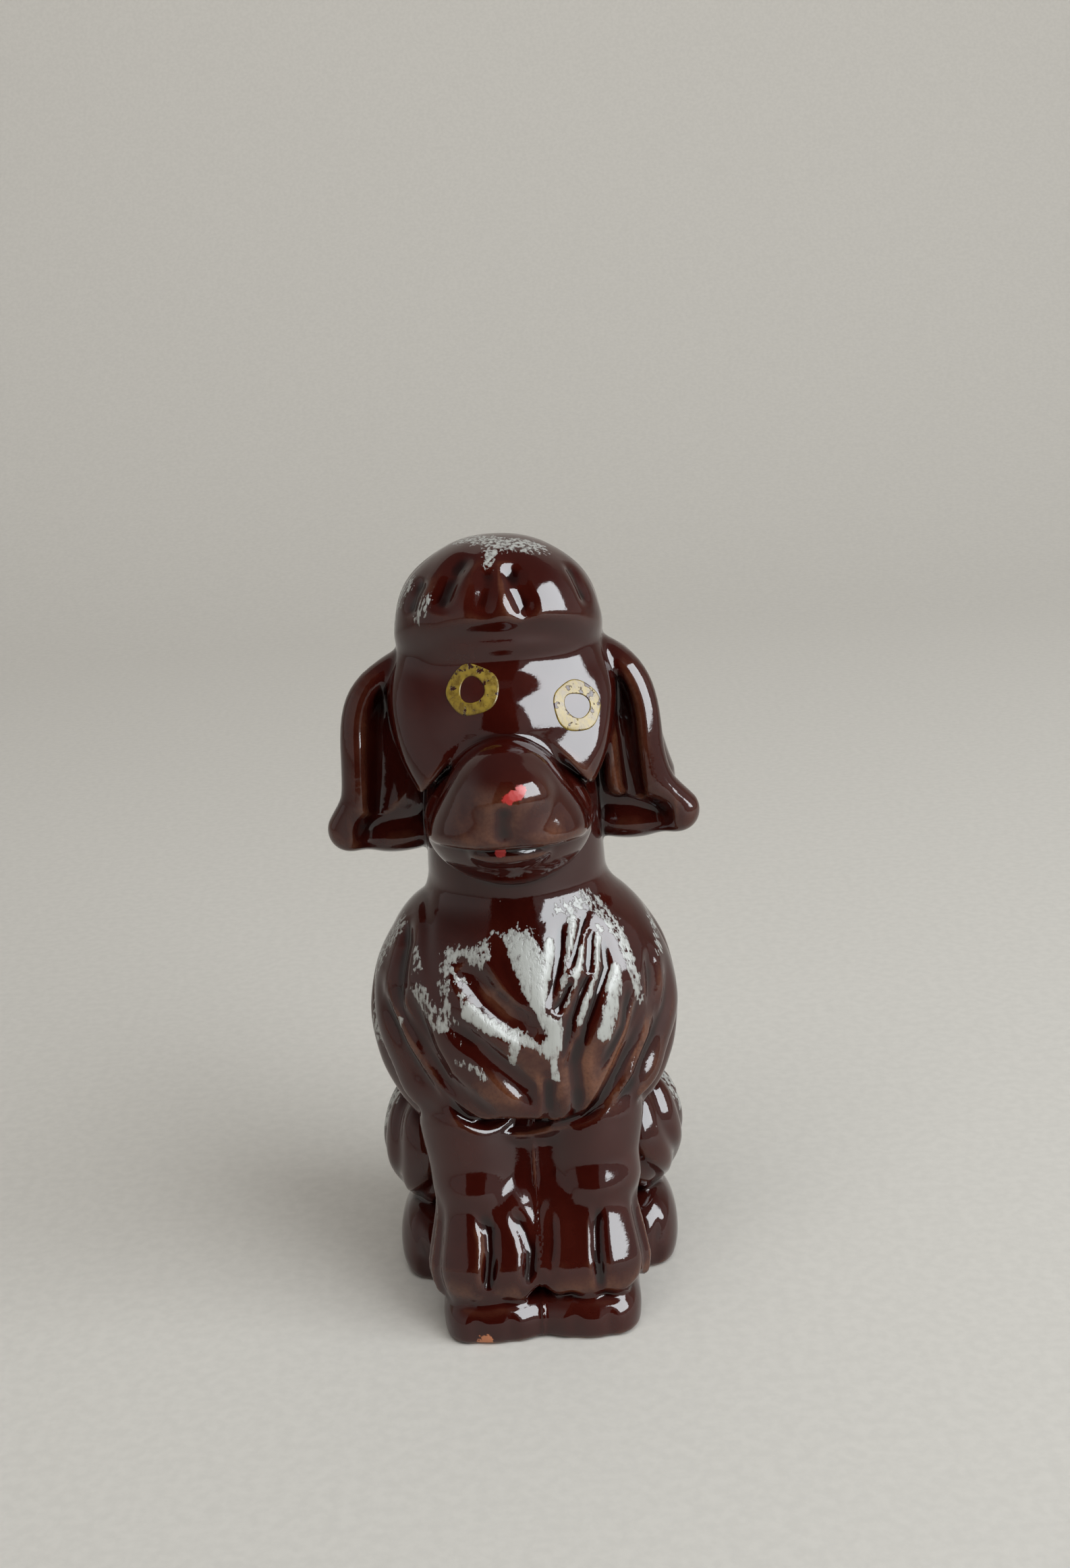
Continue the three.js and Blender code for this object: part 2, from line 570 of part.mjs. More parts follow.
function topknotMember() {
  const middle = at(-0.4, 0.5, SKULL_MIDDLE + TOPKNOT_SEAT);
  const dome = ball(middle, TOPKNOT_WIDTH, TOPKNOT_DEPTH, 2 * TOPKNOT_HEIGHT);
  const rim = (p) => SKULL_MIDDLE + TOPKNOT_RIM - TOPKNOT_TILT * p.y - 0.012 * p.x ** 2 - p.z;
  const plain = trim(TOPKNOT_ROUND, dome, rim);
  const crown = at(0, 2.5, middle.z + 0.8 * TOPKNOT_HEIGHT);
  const locksAxis = makeAxis(crown, crown.clone().add(UP), FRONT);
  const grooves = TOPKNOT_GROOVES.map((angle) => [angle, TOPKNOT_LOCK_DEPTH]);
  const form = (p) => {
    const { angle, out } = about(locksAxis, p);
    const fade = THREE.MathUtils.smoothstep(out, TOPKNOT_WIDTH * 0.22, TOPKNOT_WIDTH * 0.46);
    return plain(p) + fade * comb(angle, out, grooves, TOPKNOT_LOCK_WIDTH);
  };
  const heart = at(0, 2.5, SKULL_MIDDLE + TOPKNOT_RIM + 2);
  const spine = makeAxis(heart, heart.clone().add(UP), FRONT);
  return { name: "topknot", form, plain, spine, rows: 10, grooves };
}

function earMember(side, name, bow) {
  const root = at(side * (SKULL_WIDTH / 2 - 1), 1, SKULL_MIDDLE + EAR_ROOT_RISE);
  const down = (share) => root.z - share * EAR_LENGTH;
  const rim = new THREE.CatmullRomCurve3([
    root,
    at(side * (EAR_SHOULDER_SPREAD + bow), -0.5, down(0.27)),
    at(side * (EAR_SHOULDER_SPREAD + bow + 0.6), -1.6, down(0.58)),
    at(side * (EAR_SHOULDER_SPREAD + bow / 2 + 1.2), -1.8, down(0.79)),
    at(side * EAR_TIP_SPREAD, -1, down(1)),
  ]);
  const stops = rim.getPoints(10);
  const swelling = (i) => THREE.MathUtils.smoothstep(i / 10, 0.5, 1);
  const wide = (i) => THREE.MathUtils.lerp(EAR_RIM_WIDTH, EAR_TIP_WIDTH, swelling(i));
  const rollParts = stops.slice(1).map((stop, i) => limb(stops[i], stop, wide(i), wide(i + 1)));
  const roll = (p) => Math.min(...rollParts.map((part) => part(p)));
  const flapTop = at(side * (SKULL_WIDTH / 2 - 0.7), EAR_FLAP_BACK, down(0.16));
  const flapLow = at(side * (EAR_SHOULDER_SPREAD - 2.6), EAR_FLAP_BACK, down(0.82));
  const hem = ball(at(side * (EAR_SHOULDER_SPREAD - 2.2), EAR_FLAP_BACK - 1.5, down(0.985)), 13.2, 9.2, 8);
  const flap = blend(2, limb(flapTop, flapLow, 0.83 * EAR_FLAP_WIDTH, 1.1 * EAR_FLAP_WIDTH), hem);
  const inner = EAR_SHOULDER_SPREAD + bow - 2.8;
  const channel = [
    at(side * (inner - 0.4), -0.6, down(0.04)),
    at(side * (inner + 0.5), -2.6, down(0.38)),
    at(side * (inner + 1), -3, down(0.72)),
    at(side * (inner + 2), -2.6, down(1.03)),
  ];
  const form = press(blend(2.4, roll, flap), [
    { points: channel, width: EAR_CHANNEL_WIDTH, depth: EAR_CHANNEL_DEPTH },
  ]);
  const high = at(side * (SKULL_WIDTH / 2 + 0.5), 2.6, down(0.15));
  const low = at(side * (EAR_SHOULDER_SPREAD + 0.6), 1, down(0.9));
  return { name, form, spine: makeAxis(low, high, FRONT), columns: 20, rows: 14 };
}

function tailMembers() {
  const backAt = TRUNK_BACK + TRUNK_WIDTH / 2;
  const root = at(0, backAt - TAIL_ROOT_SINK, TAIL_ROOT_RISE);
  const end = at(0, backAt - TAIL_END_SINK, TAIL_ROOT_RISE + TAIL_LENGTH);
  const middle = at(0, end.y, end.z + 0.4 * POMPON_HEIGHT);
  const plain = ball(middle, POMPON_WIDTH, POMPON_WIDTH, POMPON_HEIGHT);
  const spine = makeAxis(middle, middle.clone().add(UP), FRONT);
  const grooves = evenGrooves(POMPON_FLUTES, POMPON_FLUTE_DEPTH);
  const form = (p) => {
    const { angle, out } = about(spine, p);
    return plain(p) + THREE.MathUtils.smoothstep(out, 1, 5) * comb(angle, out, grooves, POMPON_FLUTE_WIDTH);
  };
  const stem = limb(root, end, TAIL_WIDTH, 0.9 * TAIL_WIDTH);
  return [
    { name: "tail_pompon", form, plain, spine, rows: 8, grooves },
    { name: "tail", form: stem, spine: makeAxis(root, end, FRONT), columns: 14, rows: 8 },
  ];
}

// A painted ring: a torus sunk to its middle in the head, square to the face, and trimmed to stand on it.
function eyeRing(head, across, rise) {
  const centre = walk(head.form, 0, at(across, -30, SKULL_MIDDLE + rise), at(0, -1, 0), 1);
  const step = 0.05;
  const slope = (x, y, z) => head.form(at(centre.x + x, centre.y + y, centre.z + z));
  const gaze = at(
    slope(step, 0, 0) - slope(-step, 0, 0),
    slope(0, step, 0) - slope(0, -step, 0),
    slope(0, 0, step) - slope(0, 0, -step),
  ).normalize();
  const plane = makeAxis(centre, centre.clone().add(gaze), UP);
  const middle = (EYE_RING_DIAMETER + EYE_PUPIL_DIAMETER) / 4;
  const half = (EYE_RING_DIAMETER - EYE_PUPIL_DIAMETER) / 4;
  const sides = 6;
  const steps = 20;
  const torus = new THREE.TorusGeometry(middle, half, sides, steps);
  const points = torus.attributes.position;
  const point = at(0, 0, 0);
  for (let i = 0; i < points.count; i++) {
    const tube = (2 * Math.PI * (Math.floor(i / (steps + 1)) % sides)) / sides;
    const round = (2 * Math.PI * ((i % (steps + 1)) % steps)) / steps;
    const out = middle + half * Math.cos(tube);
    const level = ENAMEL_GAP + ENAMEL_THICKNESS * Math.sin(tube);
    point.copy(centre).addScaledVector(gaze, 2);
    point.addScaledVector(plane.start, out * Math.cos(round));
    point.addScaledVector(plane.turn, out * Math.sin(round));
    walk(head.form, level, point, gaze, 1);
    points.setXYZ(i, point.x, point.y, point.z);
  }
  return toSolid(torus).subtract(wrap(head.form, head.spine, { ...head, outside: ENAMEL_GAP }));
}

// Assembly: each member keeps what the members before it leave, less the slip joint.

const head = headMember();
const members = [
  head,
  ruffMember(),
  trunkMember(),
  cuffMember(LEFT, "left_cuff", LEFT_CUFF_FLUTES),
  cuffMember(RIGHT, "right_cuff", RIGHT_CUFF_FLUTES),
  thighMember(LEFT, "left_thigh"),
  thighMember(RIGHT, "right_thigh"),
  forelegMember(LEFT, "left_foreleg"),
  forelegMember(RIGHT, "right_foreleg"),
  pawMember(LEFT, "left_front_paw"),
  pawMember(RIGHT, "right_front_paw"),
  hindFootMember(LEFT, "left_hind_foot"),
  hindFootMember(RIGHT, "right_hind_foot"),
  topknotMember(),
  earMember(LEFT, "left_ear", LEFT_EAR_BOW),
  earMember(RIGHT, "right_ear", RIGHT_EAR_BOW),
  ...tailMembers(),
];

const FAR = 10 * RUFF_HEIGHT;
const aboveTable = boxSolid(at(-FAR, -FAR, 0), at(FAR, FAR, FAR));
const sideOf = {
  [LEFT]: boxSolid(at(JOINT / 2, -FAR, -FAR), at(FAR, FAR, FAR)),
  [RIGHT]: boxSolid(at(-FAR, -FAR, -FAR), at(-JOINT / 2, FAR, FAR)),
};

const pieces = new Map();
const cutters = [];
for (const member of members) {
  let solid = wrap(member.form, member.spine, member).intersect(aboveTable);
  if (member.side) solid = solid.intersect(sideOf[member.side]);
  for (const cutter of cutters) solid = solid.subtract(cutter);
  pieces.set(member.name, largestBody(solid));
  const { columns, rows, grooves, crowding, spine, plain, form, side } = member;
  const plainColumns = columns ?? 2 * grooves.length;
  const cutter = wrap(plain ?? form, spine, { columns: plainColumns, rows, crowding, outside: JOINT });
  cutters.push(side ? cutter.intersect(sideOf[side]) : cutter);
}

// The vent is a blind bore up into the seat.
const vent = new THREE.CylinderGeometry(VENT_DIAMETER / 2, VENT_DIAMETER / 2, 2 * VENT_DEPTH, 20);
vent.rotateX(Math.PI / 2);
vent.translate(0, TRUNK_BACK, 0);
pieces.set("trunk", pieces.get("trunk").subtract(toSolid(vent)));

pieces.set("left_eye_ring", eyeRing(head, LEFT_EYE_ACROSS, LEFT_EYE_RISE));
pieces.set("right_eye_ring", eyeRing(head, -RIGHT_EYE_ACROSS, RIGHT_EYE_RISE));

// Scene graph

const GLAZE = { color: 0x4a1b12, roughness: 0.18, metalness: 0 };
const ENAMEL = { color: 0xc4b03a, roughness: 0.35, metalness: 0 };

const figure = new THREE.Group();
for (const [name, solid] of pieces) {
  const { vertProperties, triVerts } = solid.getMesh();
  const geometry = new THREE.BufferGeometry();
  geometry.setAttribute("position", new THREE.BufferAttribute(new Float32Array(vertProperties), 3));
  geometry.setIndex(new THREE.BufferAttribute(new Uint32Array(triVerts), 1));
  geometry.computeVertexNormals();
  const look = name.endsWith("eye_ring") ? ENAMEL : GLAZE;
  const mesh = new THREE.Mesh(geometry, new THREE.MeshStandardMaterial(look));
  mesh.name = name;
  figure.add(mesh);
}

// The origin is under the middle of the figure, on the table.
const middle = new THREE.Box3().setFromObject(figure).getCenter(at(0, 0, 0));
figure.position.set(-middle.x, -middle.y, 0);

const poodle = new THREE.Group();
poodle.add(figure);

export default poodle;
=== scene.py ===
# %% [markdown]
# # A glazed poodle figurine
# The real thing is a small slip casting of red clay: a seated poodle in a lion clip, dipped in a brown
# glaze, with white paint brushed over its curls and yellow rings painted on for eyes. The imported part
# gives each clay member its place. This lesson gives the members their modelled skin and their finish.

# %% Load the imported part
import math

import bpy
import numpy as np
from mathutils import Matrix, Vector


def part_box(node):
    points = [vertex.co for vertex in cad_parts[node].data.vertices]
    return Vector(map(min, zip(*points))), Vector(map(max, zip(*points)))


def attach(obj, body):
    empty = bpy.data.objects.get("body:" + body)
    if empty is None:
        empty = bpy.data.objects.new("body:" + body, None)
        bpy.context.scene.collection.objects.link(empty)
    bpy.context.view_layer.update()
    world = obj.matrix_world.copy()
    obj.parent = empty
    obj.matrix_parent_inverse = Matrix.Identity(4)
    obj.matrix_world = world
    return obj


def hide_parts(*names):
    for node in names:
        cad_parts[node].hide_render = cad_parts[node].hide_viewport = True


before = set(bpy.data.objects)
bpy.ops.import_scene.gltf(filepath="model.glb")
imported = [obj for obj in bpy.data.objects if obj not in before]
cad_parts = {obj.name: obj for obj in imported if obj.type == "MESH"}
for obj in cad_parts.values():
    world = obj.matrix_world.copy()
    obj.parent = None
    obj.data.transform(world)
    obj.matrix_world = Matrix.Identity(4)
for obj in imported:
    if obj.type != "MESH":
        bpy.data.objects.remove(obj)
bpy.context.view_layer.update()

# %% [markdown]
# The members are worked out in millimetres about the body's own axis. The frame says where that axis
# stands: the two front paws lie evenly on both sides of it, and their tips lie a known way in front.

# %% Find the body's axis in the frame
MM = 0.001
LEFT = 1
RIGHT = -1
PAW_FORWARD = 11.8
PAW_LENGTH = 20.8

left_paw_low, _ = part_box("left_front_paw")
_, right_paw_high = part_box("right_front_paw")
AXIS = np.array([
    (left_paw_low.x + right_paw_high.x) / 2,
    left_paw_low.y + (PAW_FORWARD + PAW_LENGTH / 2) * MM,
    0.0,
])
print("axis of the body stands at", AXIS.round(5))

# %% [markdown]
# Clay that is pressed, smoothed and dipped has no hard corners, so boxes and cylinders are a poor start.
# Each member is a form instead: a function that is below zero inside the clay and above zero outside.
# Forms can be blended with a fillet, trimmed, and pressed along a line, and a skin is drawn where they
# reach zero. Points come as three rows, x, y and z.

# %% Plain forms
def ball(centre, size):
    half = [side / 2 for side in size]

    def form(p):
        q = [(p[i] - centre[i]) / half[i] for i in range(3)]
        reach = np.sqrt(q[0] ** 2 + q[1] ** 2 + q[2] ** 2)
        slope = np.sqrt((q[0] / half[0]) ** 2 + (q[1] / half[1]) ** 2 + (q[2] / half[2]) ** 2)
        return reach * (reach - 1) / (slope + 1e-9)

    return form


def loaf(centre, size, plan, profile):
    """A rounded block: plan and profile say how square it is from above and from the side."""
    half = [side / 2 for side in size]

    def form(p):
        q = [np.abs(p[i] - centre[i]) / half[i] for i in range(3)]
        level = (q[0] ** plan + q[1] ** plan) ** (1 / plan)
        return ((level ** profile + q[2] ** profile) ** (1 / profile) - 1) * min(half)

    return form


def limb(start, end, start_width, end_width):
    start = np.array(start, float)
    along = np.array(end, float) - start
    reach = along @ along

    def form(p):
        q = [p[i] - start[i] for i in range(3)]
        share = np.clip((q[0] * along[0] + q[1] * along[1] + q[2] * along[2]) / reach, 0, 1)
        away = np.sqrt(sum((q[i] - share * along[i]) ** 2 for i in range(3)))
        return away - (start_width + share * (end_width - start_width)) / 2

    return form


def roll(points, start_width, end_width):
    """A limb that follows a line of points."""
    widths = np.linspace(start_width, end_width, len(points))
    legs = [limb(a, b, u, v) for a, b, u, v in zip(points, points[1:], widths, widths[1:])]
    return lambda p: np.minimum.reduce([leg(p) for leg in legs])


def bow(points, steps):
    """A smooth curve through a few places."""
    spots = np.array([points[0], *points, points[-1]], float)
    curve = []
    for a, b, c, d in zip(spots, spots[1:], spots[2:], spots[3:]):
        for t in np.arange(steps) / steps:
            curve.append(b + t * (c - a) / 2 + t ** 2 * (a - 2.5 * b + 2 * c - d / 2)
                         + t ** 3 * (1.5 * (b - c) + (d - a) / 2))
    return curve + [spots[-1]]


trial_ball = ball((0, 0, 0), (4, 4, 4))
print("level 1 mm outside a trial ball:", trial_ball(np.array([[3.0], [0.0], [0.0]])))

# %% Ways to join and shape forms
def soft_min(a, b, fillet):
    return np.minimum(a, b) - np.maximum(fillet - np.abs(a - b), 0) ** 2 / (4 * fillet)


def blend(fillet, *forms):
    def form(p):
        level = forms[0](p)
        for other in forms[1:]:
            level = soft_min(level, other(p), fillet)
        return level

    return form


def trim(rounding, form_a, form_b):
    return lambda p: -soft_min(-form_a(p), -form_b(p), rounding)


def ramp(value, start, end):
    t = np.clip((value - start) / (end - start), 0, 1)
    return t * t * (3 - 2 * t)


def lean(form, rate, height):
    """Leans a form backwards as it rises past a height."""
    return lambda p: form(np.stack([p[0], p[1] - rate * (p[2] - height), p[2]]))


def one_side(form, side):
    """Keeps a form on its own side of the middle plane."""
    return lambda p: form(p) + np.maximum(-side * p[0], 0)


def mirrored(side, place):
    """A place that is given for the left side, on either side."""
    return (side * place[0], place[1], place[2])


print("level where two skins cross, with a fillet of 1 mm:", soft_min(0.0, 0.0, 1.0))

# %% Grooves pressed into a form
START_IN_FRONT = -40.0


def drawn_on_front(form, line):
    """Places on the front of a form, from how far across and how high they are."""
    spots = np.array([(x, START_IN_FRONT, z) for x, z in line]).T
    for _ in range(60):
        spots[1] += 0.6 * np.maximum(form(spots), -1)
    return spots.T


def front_of(form, x, z):
    """Where the front of a form lies, for a print."""
    return drawn_on_front(form, [(x, z)])[0].round(2)


def beside_line(points, p):
    """Distance from a line of places, and how far along the line the nearest place is."""
    spots = np.array(points, float)
    lengths = np.linalg.norm(np.diff(spots, axis=0), axis=1)
    starts = np.concatenate([[0], np.cumsum(lengths)]) / lengths.sum()
    nearest = np.full(p.shape[1], np.inf)
    reached = np.zeros(p.shape[1])
    for i, length in enumerate(lengths):
        way = (spots[i + 1] - spots[i]) / length
        q = p - spots[i][:, None]
        step = np.clip(way @ q, 0, length)
        away = np.linalg.norm(q - step * way[:, None], axis=0)
        closer = away < nearest
        nearest = np.where(closer, away, nearest)
        reached = np.where(closer, starts[i] + step / lengths.sum(), reached)
    return nearest, reached


def press(form, *grooves):
    """Presses grooves into a form: each is a line of places, its width and its depth. The ends run out."""
    lines = []
    for points, width, depth in grooves:
        spots = np.array(points, float)
        lines.append((points, spots.min(0) - 3 * width, spots.max(0) + 3 * width, width, depth))

    def pressed(p):
        bite = np.zeros(p.shape[1])
        for points, low, high, width, depth in lines:
            near = np.all((p > low[:, None]) & (p < high[:, None]), 0)
            if near.any():
                away, reached = beside_line(points, p[:, near])
                run_out = ramp(np.minimum(reached, 1 - reached), -0.06, 0.28)
                bite[near] = np.maximum(bite[near], run_out * depth * np.exp(-((away / width) ** 2)))
        return form(p) + bite

    return pressed


def press_on_front(form, guide, grooves):
    """Presses grooves into a form where they are drawn on the front of a guide form."""
    return press(form, *[(drawn_on_front(guide, line), width, depth) for line, width, depth in grooves])


print("front of the trial ball:", front_of(trial_ball, 0, 0))

# %% Locks of hair
def about(axis_from, axis_to, p):
    """Angle in degrees from the front, distance out and height, about an axis."""
    axis = np.array(axis_to, float) - np.array(axis_from, float)
    axis = axis / np.linalg.norm(axis)
    front = np.array([0.0, -1.0, 0.0])
    front = front - front @ axis * axis
    front = front / np.linalg.norm(front)
    turn = np.cross(axis, front)
    q = p - np.array(axis_from, float)[:, None]
    a = front @ q
    b = turn @ q
    return np.degrees(np.arctan2(b, a)), np.hypot(a, b), axis @ q


def comb(angle, out, grooves, width):
    """How deep grooves round an axis bite: each is its angle and depth, and all have one width."""
    bite = np.zeros(angle.shape)
    for place, depth in grooves:
        off = (angle - place + 180) % 360 - 180
        across = np.radians(off) * out / width
        bite = np.maximum(bite, depth * np.exp(-across ** 2))
    return bite


def ring_of_grooves(count, depth):
    return [(360 * (i + 0.5) / count - 180, depth) for i in range(count)]


print("angles of four grooves:", [angle for angle, _ in ring_of_grooves(4, 1.0)])

# %% [markdown]
# The face is clipped short but stands a little proud, like a mask. Its lower edge runs up to a peak
# between the eyes and down to a point on each cheek. The shaved muzzle comes out below that edge: a bridge
# that slopes down to a round nose. The lips hang over the jaw, so the mouth is the crease between them.

# %% Head
SKULL_MIDDLE = 79.0
SKULL_WIDTH = 26.4
NOSE = (-0.6, -15.4, 69)
NOSE_SIZE = (14.6, 17.4, 15.4)
LIP_SIZE = (12.4, 16, 12.6)
LIP_HEIGHT = 65.2
PHILTRUM = ([(-0.8, 71), (-1.0, 68.5), (-0.8, 65.8)], 1.1, 0.6)


def mask_form():
    def temples(p):
        drop = np.maximum(SKULL_MIDDLE + 4 - p[2], 0)
        return np.abs(p[0] + 0.5) - SKULL_WIDTH / 2 - 1.9 + 0.022 * drop ** 2

    def edge(p):
        peak = SKULL_MIDDLE + 1.3
        x = p[0] + 0.5
        return (peak - 0.84 * np.hypot(x, 1.2) - 0.0255 * x ** 2 - p[2]) / 1.3

    brow = lean(ball((-0.6, -1.6, SKULL_MIDDLE - 6), (33, 20, 36)), 0.3, SKULL_MIDDLE + 1)
    return trim(1.3, trim(3, brow, temples), edge)


def head_form():
    crown = ball((0, 2.6, SKULL_MIDDLE + 0.4), (SKULL_WIDTH, 22, 29))
    jowl = limb((0, -2.5, SKULL_MIDDLE - 4), (0, -4, SKULL_MIDDLE - 12), 22.6, 19.4)
    forehead = ball((-0.4, 0.8, SKULL_MIDDLE + 8.2), (24.4, 21.6, 12))
    skull = blend(1.4, blend(3, crown, jowl), blend(3, mask_form(), forehead))
    bridge = limb((-0.2, -6, 71.4), (-0.8, -13.6, 69.4), 15.4, 12)

    def lip_edge(p):
        return 65.1 - 0.236 * (p[1] + 23) + 0.012 * p[0] ** 2 - p[2]

    lips = blend(1.5, ball((-4, -14.9, LIP_HEIGHT), LIP_SIZE), ball((3, -14.9, LIP_HEIGHT), LIP_SIZE))
    nose = blend(2.4, ball(NOSE, NOSE_SIZE), lips, ball((0.3, -21.4, 71.2), (7, 4.4, 4.8)))
    muzzle = blend(1.2, bridge, trim(1.2, nose, lip_edge))
    jaw = ball((-0.4, -10.6, 65.8), (20.8, 18, 16.4))
    lower_lip = ball((-0.5, -18.4, 63.6), (9, 4.6, 3))
    whole = blend(0.45, blend(1, skull, muzzle), blend(1.2, jaw, lower_lip))
    return press_on_front(whole, whole, [PHILTRUM])


print("front of the nose:", front_of(head_form(), NOSE[0], NOSE[2]))

# %% [markdown]
# The topknot is a dome of locks that hangs a little over the brow, and the ears are long flaps with a
# rolled front rim. Between rim and cheek runs a deep channel, which opens to a scoop above the hem.

# %% Topknot
TOPKNOT_WIDTH = 25.8
TOPKNOT_LOCKS = [
    ([(-3.6, 97.6), (-5.5, 95.5), (-7.6, 91)], 1.4, 1.2),
    ([(-0.9, 96.6), (-1.4, 94), (-2.3, 90.4)], 1.4, 0.6),
    ([(1.4, 96.6), (2.2, 94), (3.6, 90.2)], 1.3, 1.3),
    ([(8.4, 95.6), (9.8, 93.2), (10.8, 90.2)], 1.1, 0.6),
    ([(-9, 95), (-10.4, 92.8), (-11.3, 90.2)], 1.2, 0.8),
]


def topknot_form():
    dome = ball((-0.4, 0.5, SKULL_MIDDLE + 9.2), (TOPKNOT_WIDTH, 24, 21.6))

    def rim(p):
        return SKULL_MIDDLE + 8.4 - 0.16 * p[1] - 0.012 * p[0] ** 2 - p[2]

    plain = trim(2.6, dome, rim)
    front = press_on_front(plain, plain, TOPKNOT_LOCKS)

    def form(p):
        angle, out, _ = about((0, 2.5, 97), (0, 2.5, 98), p)
        reach = ramp(out, 5.5, 10.5) * ramp(np.abs(angle), 70, 95) * ramp(p[2], 88.5, 91)
        return front(p) + reach * comb(angle + 1.5 * (p[2] - 92), out, ring_of_grooves(15, 0.8), 0.9)

    return form


print("front of the topknot:", front_of(topknot_form(), 0, SKULL_MIDDLE + 13))

# %% Ears
def ear_form(side, bowed, inner_fold):
    def place(*spot):
        return mirrored(side, spot)

    spread = 17.4 + bowed
    rim_line = bow([
        place(12, 1.2, 82.8),
        place(15.6 + 0.7 * bowed, 0, 80.6),
        place(spread, -0.8, 76.6),
        place(spread + 0.4, -1.8, 71),
        place(spread + 1.2 - bowed / 2, -2, 66.2),
        place(21, -1.2, 62.6),
    ], 5)
    rim = roll(rim_line, 5, 5.6)
    flap = limb(place(12.5, 4.5, 79.5), place(14.8, 4.6, 66), 9.6, 12.8)
    hem = ball(place(15, 2.6, 62.2), (14, 10.4, 7.4))
    ear = blend(2.4, rim, blend(2, flap, hem))
    channel_in = 2.9
    channel_width = 1.7
    if inner_fold:
        ear = blend(1, ear, roll([place(12.2, -1, 79), place(13, -2, 73), place(13.4, -2.2, 66)], 2.6, 3.2))
        channel_in = 2.3
        channel_width = 1.3
    channel = bow([
        place(spread - channel_in - 0.4, -0.6, 82),
        place(spread - channel_in + 0.5, -2.6, 75),
        place(spread - channel_in + 1, -3, 68),
        place(spread - channel_in + 2, -2.6, 61.6),
    ], 3)
    scoop = [place(20.6, -3, 63), place(16, -3, 63.2), place(10, -2.4, 63.8)]
    return press(ear, (channel, channel_width, 2.6), (scoop, 1.9, 2.4))


print("front of the left ear:", front_of(ear_form(LEFT, -0.9, True), 16, 70))

# %% [markdown]
# The ruff is the ball of long locks on chest and shoulders. On the chest each groove was cut by hand and
# has its own place, width and depth. Round the back they run like the lines of a pumpkin. All of them
# gather at the foot of the chest, over the tops of the forelegs.

# %% Ruff
RUFF_WIDTH = 40.4
RUFF_MIDDLE = 37.7
GATHER = (0.5, -14.0, 27.0)
NAPE = (0.0, 1.0, 62.0)
CHEST_LOCKS = [
    ([(-7.6, 48), (-6, 46.2), (-4.5, 44.3), (-2.5, 42.5), (-0.2, 40.7), (1.4, 39.9)], 1.3, 4.2),
    ([(-3, 50.8), (-2.7, 49.9), (-2, 47.5), (-1, 44.8), (0.4, 42.2), (1.6, 39.6)], 1.15, 0.3),
    ([(5.3, 52.6), (5.1, 51.4), (4.8, 48.7), (4.1, 46.1), (3.2, 42.6)], 0.95, 0.8),
    ([(8.2, 52.6), (7.8, 51.5), (7, 49.5), (6.2, 47.8), (5.8, 46.8)], 0.6, 0.8),
    ([(9, 51), (8.7, 49.7), (8.3, 46.9), (8.1, 45.8)], 0.75, 0.9),
    ([(6, 45.8), (5.5, 44.6), (4.4, 42.9), (3.9, 42)], 0.7, 1.5),
    ([(8.5, 47), (8.1, 46), (6.9, 43.7), (5.8, 41), (5.2, 37.8), (4.6, 35.6)], 0.9, 1.0),
    ([(10, 50.4), (10.5, 46.5), (9.2, 43.8), (7.6, 40.2), (6.1, 35.6), (5.9, 33)], 0.8, 1.0),
    ([(6.8, 40), (6, 35.4), (6.2, 32), (6.2, 28.9), (5, 26.6)], 1.0, 1.7),
    ([(14.8, 42.4), (14.7, 40.9), (13.8, 37.6), (11.8, 33.4), (9.1, 29.5), (6, 26.6)], 1.3, 1.5),
    ([(13.3, 44), (13.2, 42.7), (12.4, 38.7), (10.5, 35.8), (9.3, 33.6)], 0.9, 0.8),
    ([(16.1, 47), (16.3, 44.8), (17, 40.1), (16.5, 35.8), (14.2, 31.1), (10.6, 27.6)], 1.2, 1.3),
    ([(2.3, 34), (2.4, 32.2), (2.5, 29), (2.4, 26.8)], 0.9, 1.1),
    ([(-10.2, 41.6), (-8.7, 40.5), (-5.9, 38.2), (-3.2, 35.6), (-0.2, 32.4), (1, 29.4)], 1.2, 1.5),
    ([(-13.9, 44), (-13.7, 41.8), (-12.5, 37.1), (-10.8, 33.3), (-7.8, 30.9), (-4.2, 29)], 1.3, 1.5),
    ([(-17.4, 43), (-17.5, 40.6), (-16, 36.7), (-14.2, 33.4), (-11.9, 30.8), (-8.4, 28.4)], 1.2, 1.3),
    ([(-12, 55.6), (-11.9, 53.8), (-11.6, 51.4), (-11.7, 48.8), (-11.3, 46.3), (-10.4, 43.4)], 1.1, 2.3),
    ([(-15, 52), (-16.4, 49.1), (-17.5, 45.4), (-18.2, 42)], 1.1, 0.9),
    ([(-14.2, 51.6), (-14.7, 49.1), (-15.8, 44.5), (-17, 40)], 1.2, 1.0),
    ([(0.8, 26.6), (4.2, 27), (8, 28.4)], 0.7, 1.2),
]
BARE_LOCKS = CHEST_LOCKS[:7]


def ruff_plain():
    chest = ball((0, -1, RUFF_MIDDLE), (RUFF_WIDTH, 34, 41))
    lock_ends = ball((0.4, -7, 30.6), (32, 21, 13.6))
    neck = limb((0, -0.4, 50), (0, 0.2, 72), 23.4, 21.4)
    return blend(1.6, blend(3, chest, lock_ends), neck)


